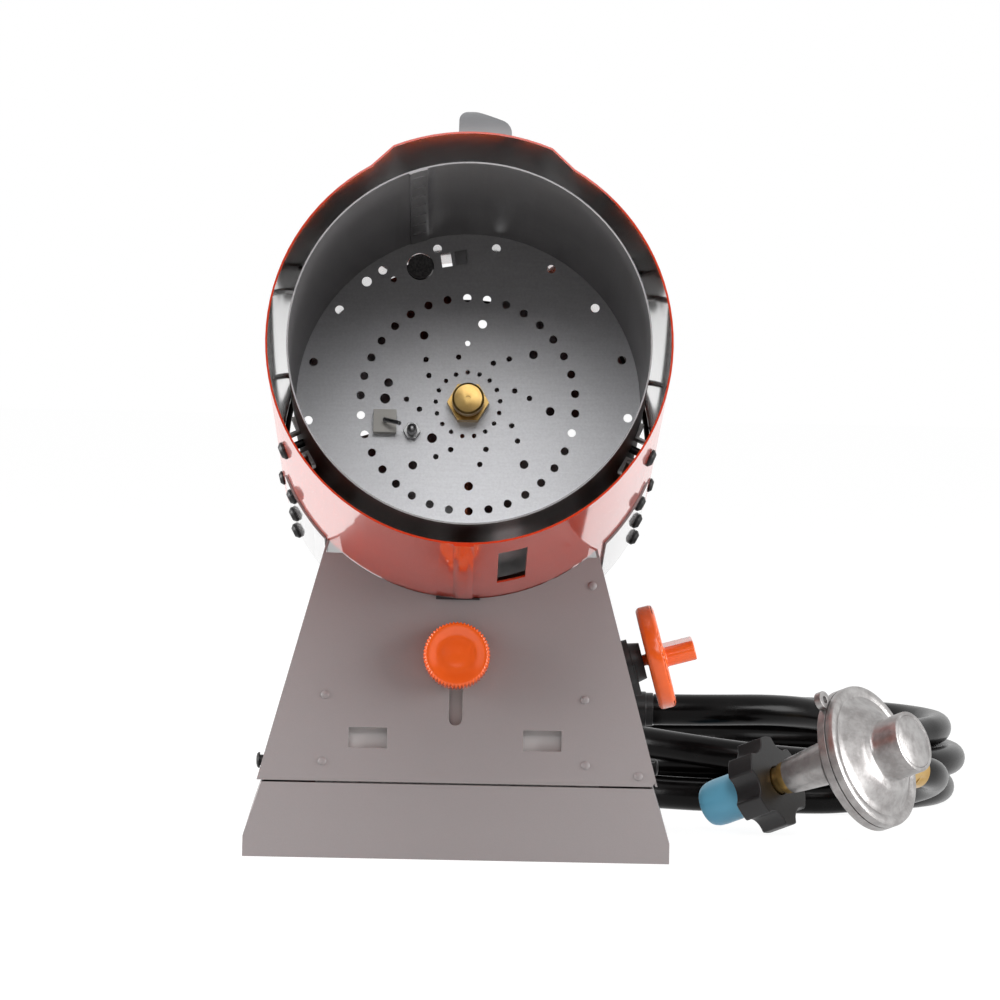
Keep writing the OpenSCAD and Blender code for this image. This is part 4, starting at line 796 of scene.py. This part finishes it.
def shown_white(f, lit, glow_strength, share):
    """Mixes what is lit with plain white, for camera rays and for mirror images."""
    glow = f.node("ShaderNodeEmission", None, {"Color": (1, 1, 1, 1), "Strength": glow_strength})
    rays = f.node("ShaderNodeLightPath")
    seen = f.node("ShaderNodeMath", {"operation": "MAXIMUM"}, {
        0: Signal(f, rays.outputs["Is Camera Ray"]), 1: Signal(f, rays.outputs["Is Glossy Ray"])})
    both = f.node("ShaderNodeMixShader", None, {0: Signal(f, seen.outputs[0]) * share})
    f.tree.links.new(lit.outputs[0], both.inputs[1])
    f.tree.links.new(glow.outputs[0], both.inputs[2])
    return both


def make_floor():
    bm = bmesh.new()
    bmesh.ops.create_grid(bm, x_segments=1, y_segments=1, size=FLOOR_REACH)
    floor = new_piece("floor", bm)
    f = Finish("studio_floor")
    shade = (FLOOR_SHADE, FLOOR_SHADE, FLOOR_SHADE, 1)
    lit = f.node("ShaderNodeBsdfDiffuse", None, {"Color": shade})
    mixed = shown_white(f, lit, FLOOR_GLOW, FLOOR_GLOW_SHARE)
    output = f.node("ShaderNodeOutputMaterial")
    f.tree.links.new(mixed.outputs[0], output.inputs[0])
    floor.data.materials.append(f.material)


make_floor()
print("floor: reaches", FLOOR_REACH, "m each way")

# %% [markdown]
# ## A black cloth
# Metal and gloss mirror the whole studio, so what faces the camera would turn as white as the
# floor. A black cloth hangs behind the camera for it to mirror. The cloth takes no light away.

# %% Cloth
BEHIND_CAMERA, CLOTH_REACH = (0, -5.5, 1.2), 3


def make_dark_card():
    """A black cloth that only mirror images show."""
    bm = bmesh.new()
    upright = placed(BEHIND_CAMERA, (math.pi / 2, "X"))
    bmesh.ops.create_grid(bm, x_segments=1, y_segments=1, size=CLOTH_REACH, matrix=upright)
    card = new_piece("dark_card", bm)
    f = Finish("black_cloth")
    f.paint(base_color=(0.004, 0.004, 0.004, 1), roughness=1.0)
    card.data.materials.append(f.material)
    card.visible_camera = card.visible_diffuse = card.visible_shadow = False


make_dark_card()
print("cloth: reaches", CLOTH_REACH, "m each way")

# %% [markdown]
# ## World
# The world fills the shadows with a dim white. The camera and mirror images get plain white
# instead, in the same way as on the floor, but a world has background nodes and not surfaces.

# %% World
WORLD_LIGHT = 0.3


def make_world(strength):
    """A dim white world that the camera and mirror images see as plain white."""
    world = bpy.data.worlds.new("studio")
    world.use_nodes = True
    tree = world.node_tree
    tree.nodes.clear()
    rays = tree.nodes.new("ShaderNodeLightPath")
    dim = tree.nodes.new("ShaderNodeBackground")
    dim.inputs["Strength"].default_value = strength
    white = tree.nodes.new("ShaderNodeBackground")
    mix = tree.nodes.new("ShaderNodeMixShader")
    for background in (dim, white):
        background.inputs["Color"].default_value = (1, 1, 1, 1)
    either = tree.nodes.new("ShaderNodeMath")
    either.operation = "MAXIMUM"
    tree.links.new(rays.outputs["Is Camera Ray"], either.inputs[0])
    tree.links.new(rays.outputs["Is Glossy Ray"], either.inputs[1])
    tree.links.new(either.outputs[0], mix.inputs[0])
    tree.links.new(dim.outputs[0], mix.inputs[1])
    tree.links.new(white.outputs[0], mix.inputs[2])
    output = tree.nodes.new("ShaderNodeOutputWorld")
    tree.links.new(mix.outputs[0], output.inputs[0])
    bpy.context.scene.world = world


make_world(WORLD_LIGHT)
print("world: strength", WORLD_LIGHT)

# %% [markdown]
# ## Lamps
# The key hangs high in front, so the chamber's own rim shades the upper half of the burner disc.
# A lamp on either side lights the drum's flanks. All three are large, because a small lamp would
# leave hard spots on the enamel and hard edges on the shadows.

# %% Lamps
LAMP_TARGET = (0, -0.05, 0.2)


def make_lamp(name, at, size, watts):
    """A square soft lamp that looks at the heater."""
    data = bpy.data.lights.new(name, "AREA")
    data.shape, data.size, data.energy = "SQUARE", size, watts
    lamp = bpy.data.objects.new(name, data)
    bpy.context.scene.collection.objects.link(lamp)
    lamp.location = at
    lamp.rotation_euler = (Vector(LAMP_TARGET) - Vector(at)).to_track_quat("-Z", "Y").to_euler()
    return lamp


lamps = [
    make_lamp("key", at=(-0.1, -2.5, 2.0), size=1.7, watts=50),
    make_lamp("left", at=(-1.7, -0.1, 0.35), size=1.1, watts=56),
    make_lamp("right", at=(1.7, -0.6, 0.35), size=1.1, watts=40)]
print("lamps:", [(lamp.name, lamp.data.energy) for lamp in lamps])
bpy.context.scene.view_settings.view_transform = "Standard"

# %% [markdown]
# ## Up to date
# Blender brings the scene up to date.

# %% Up to date
bpy.context.view_layer.update()
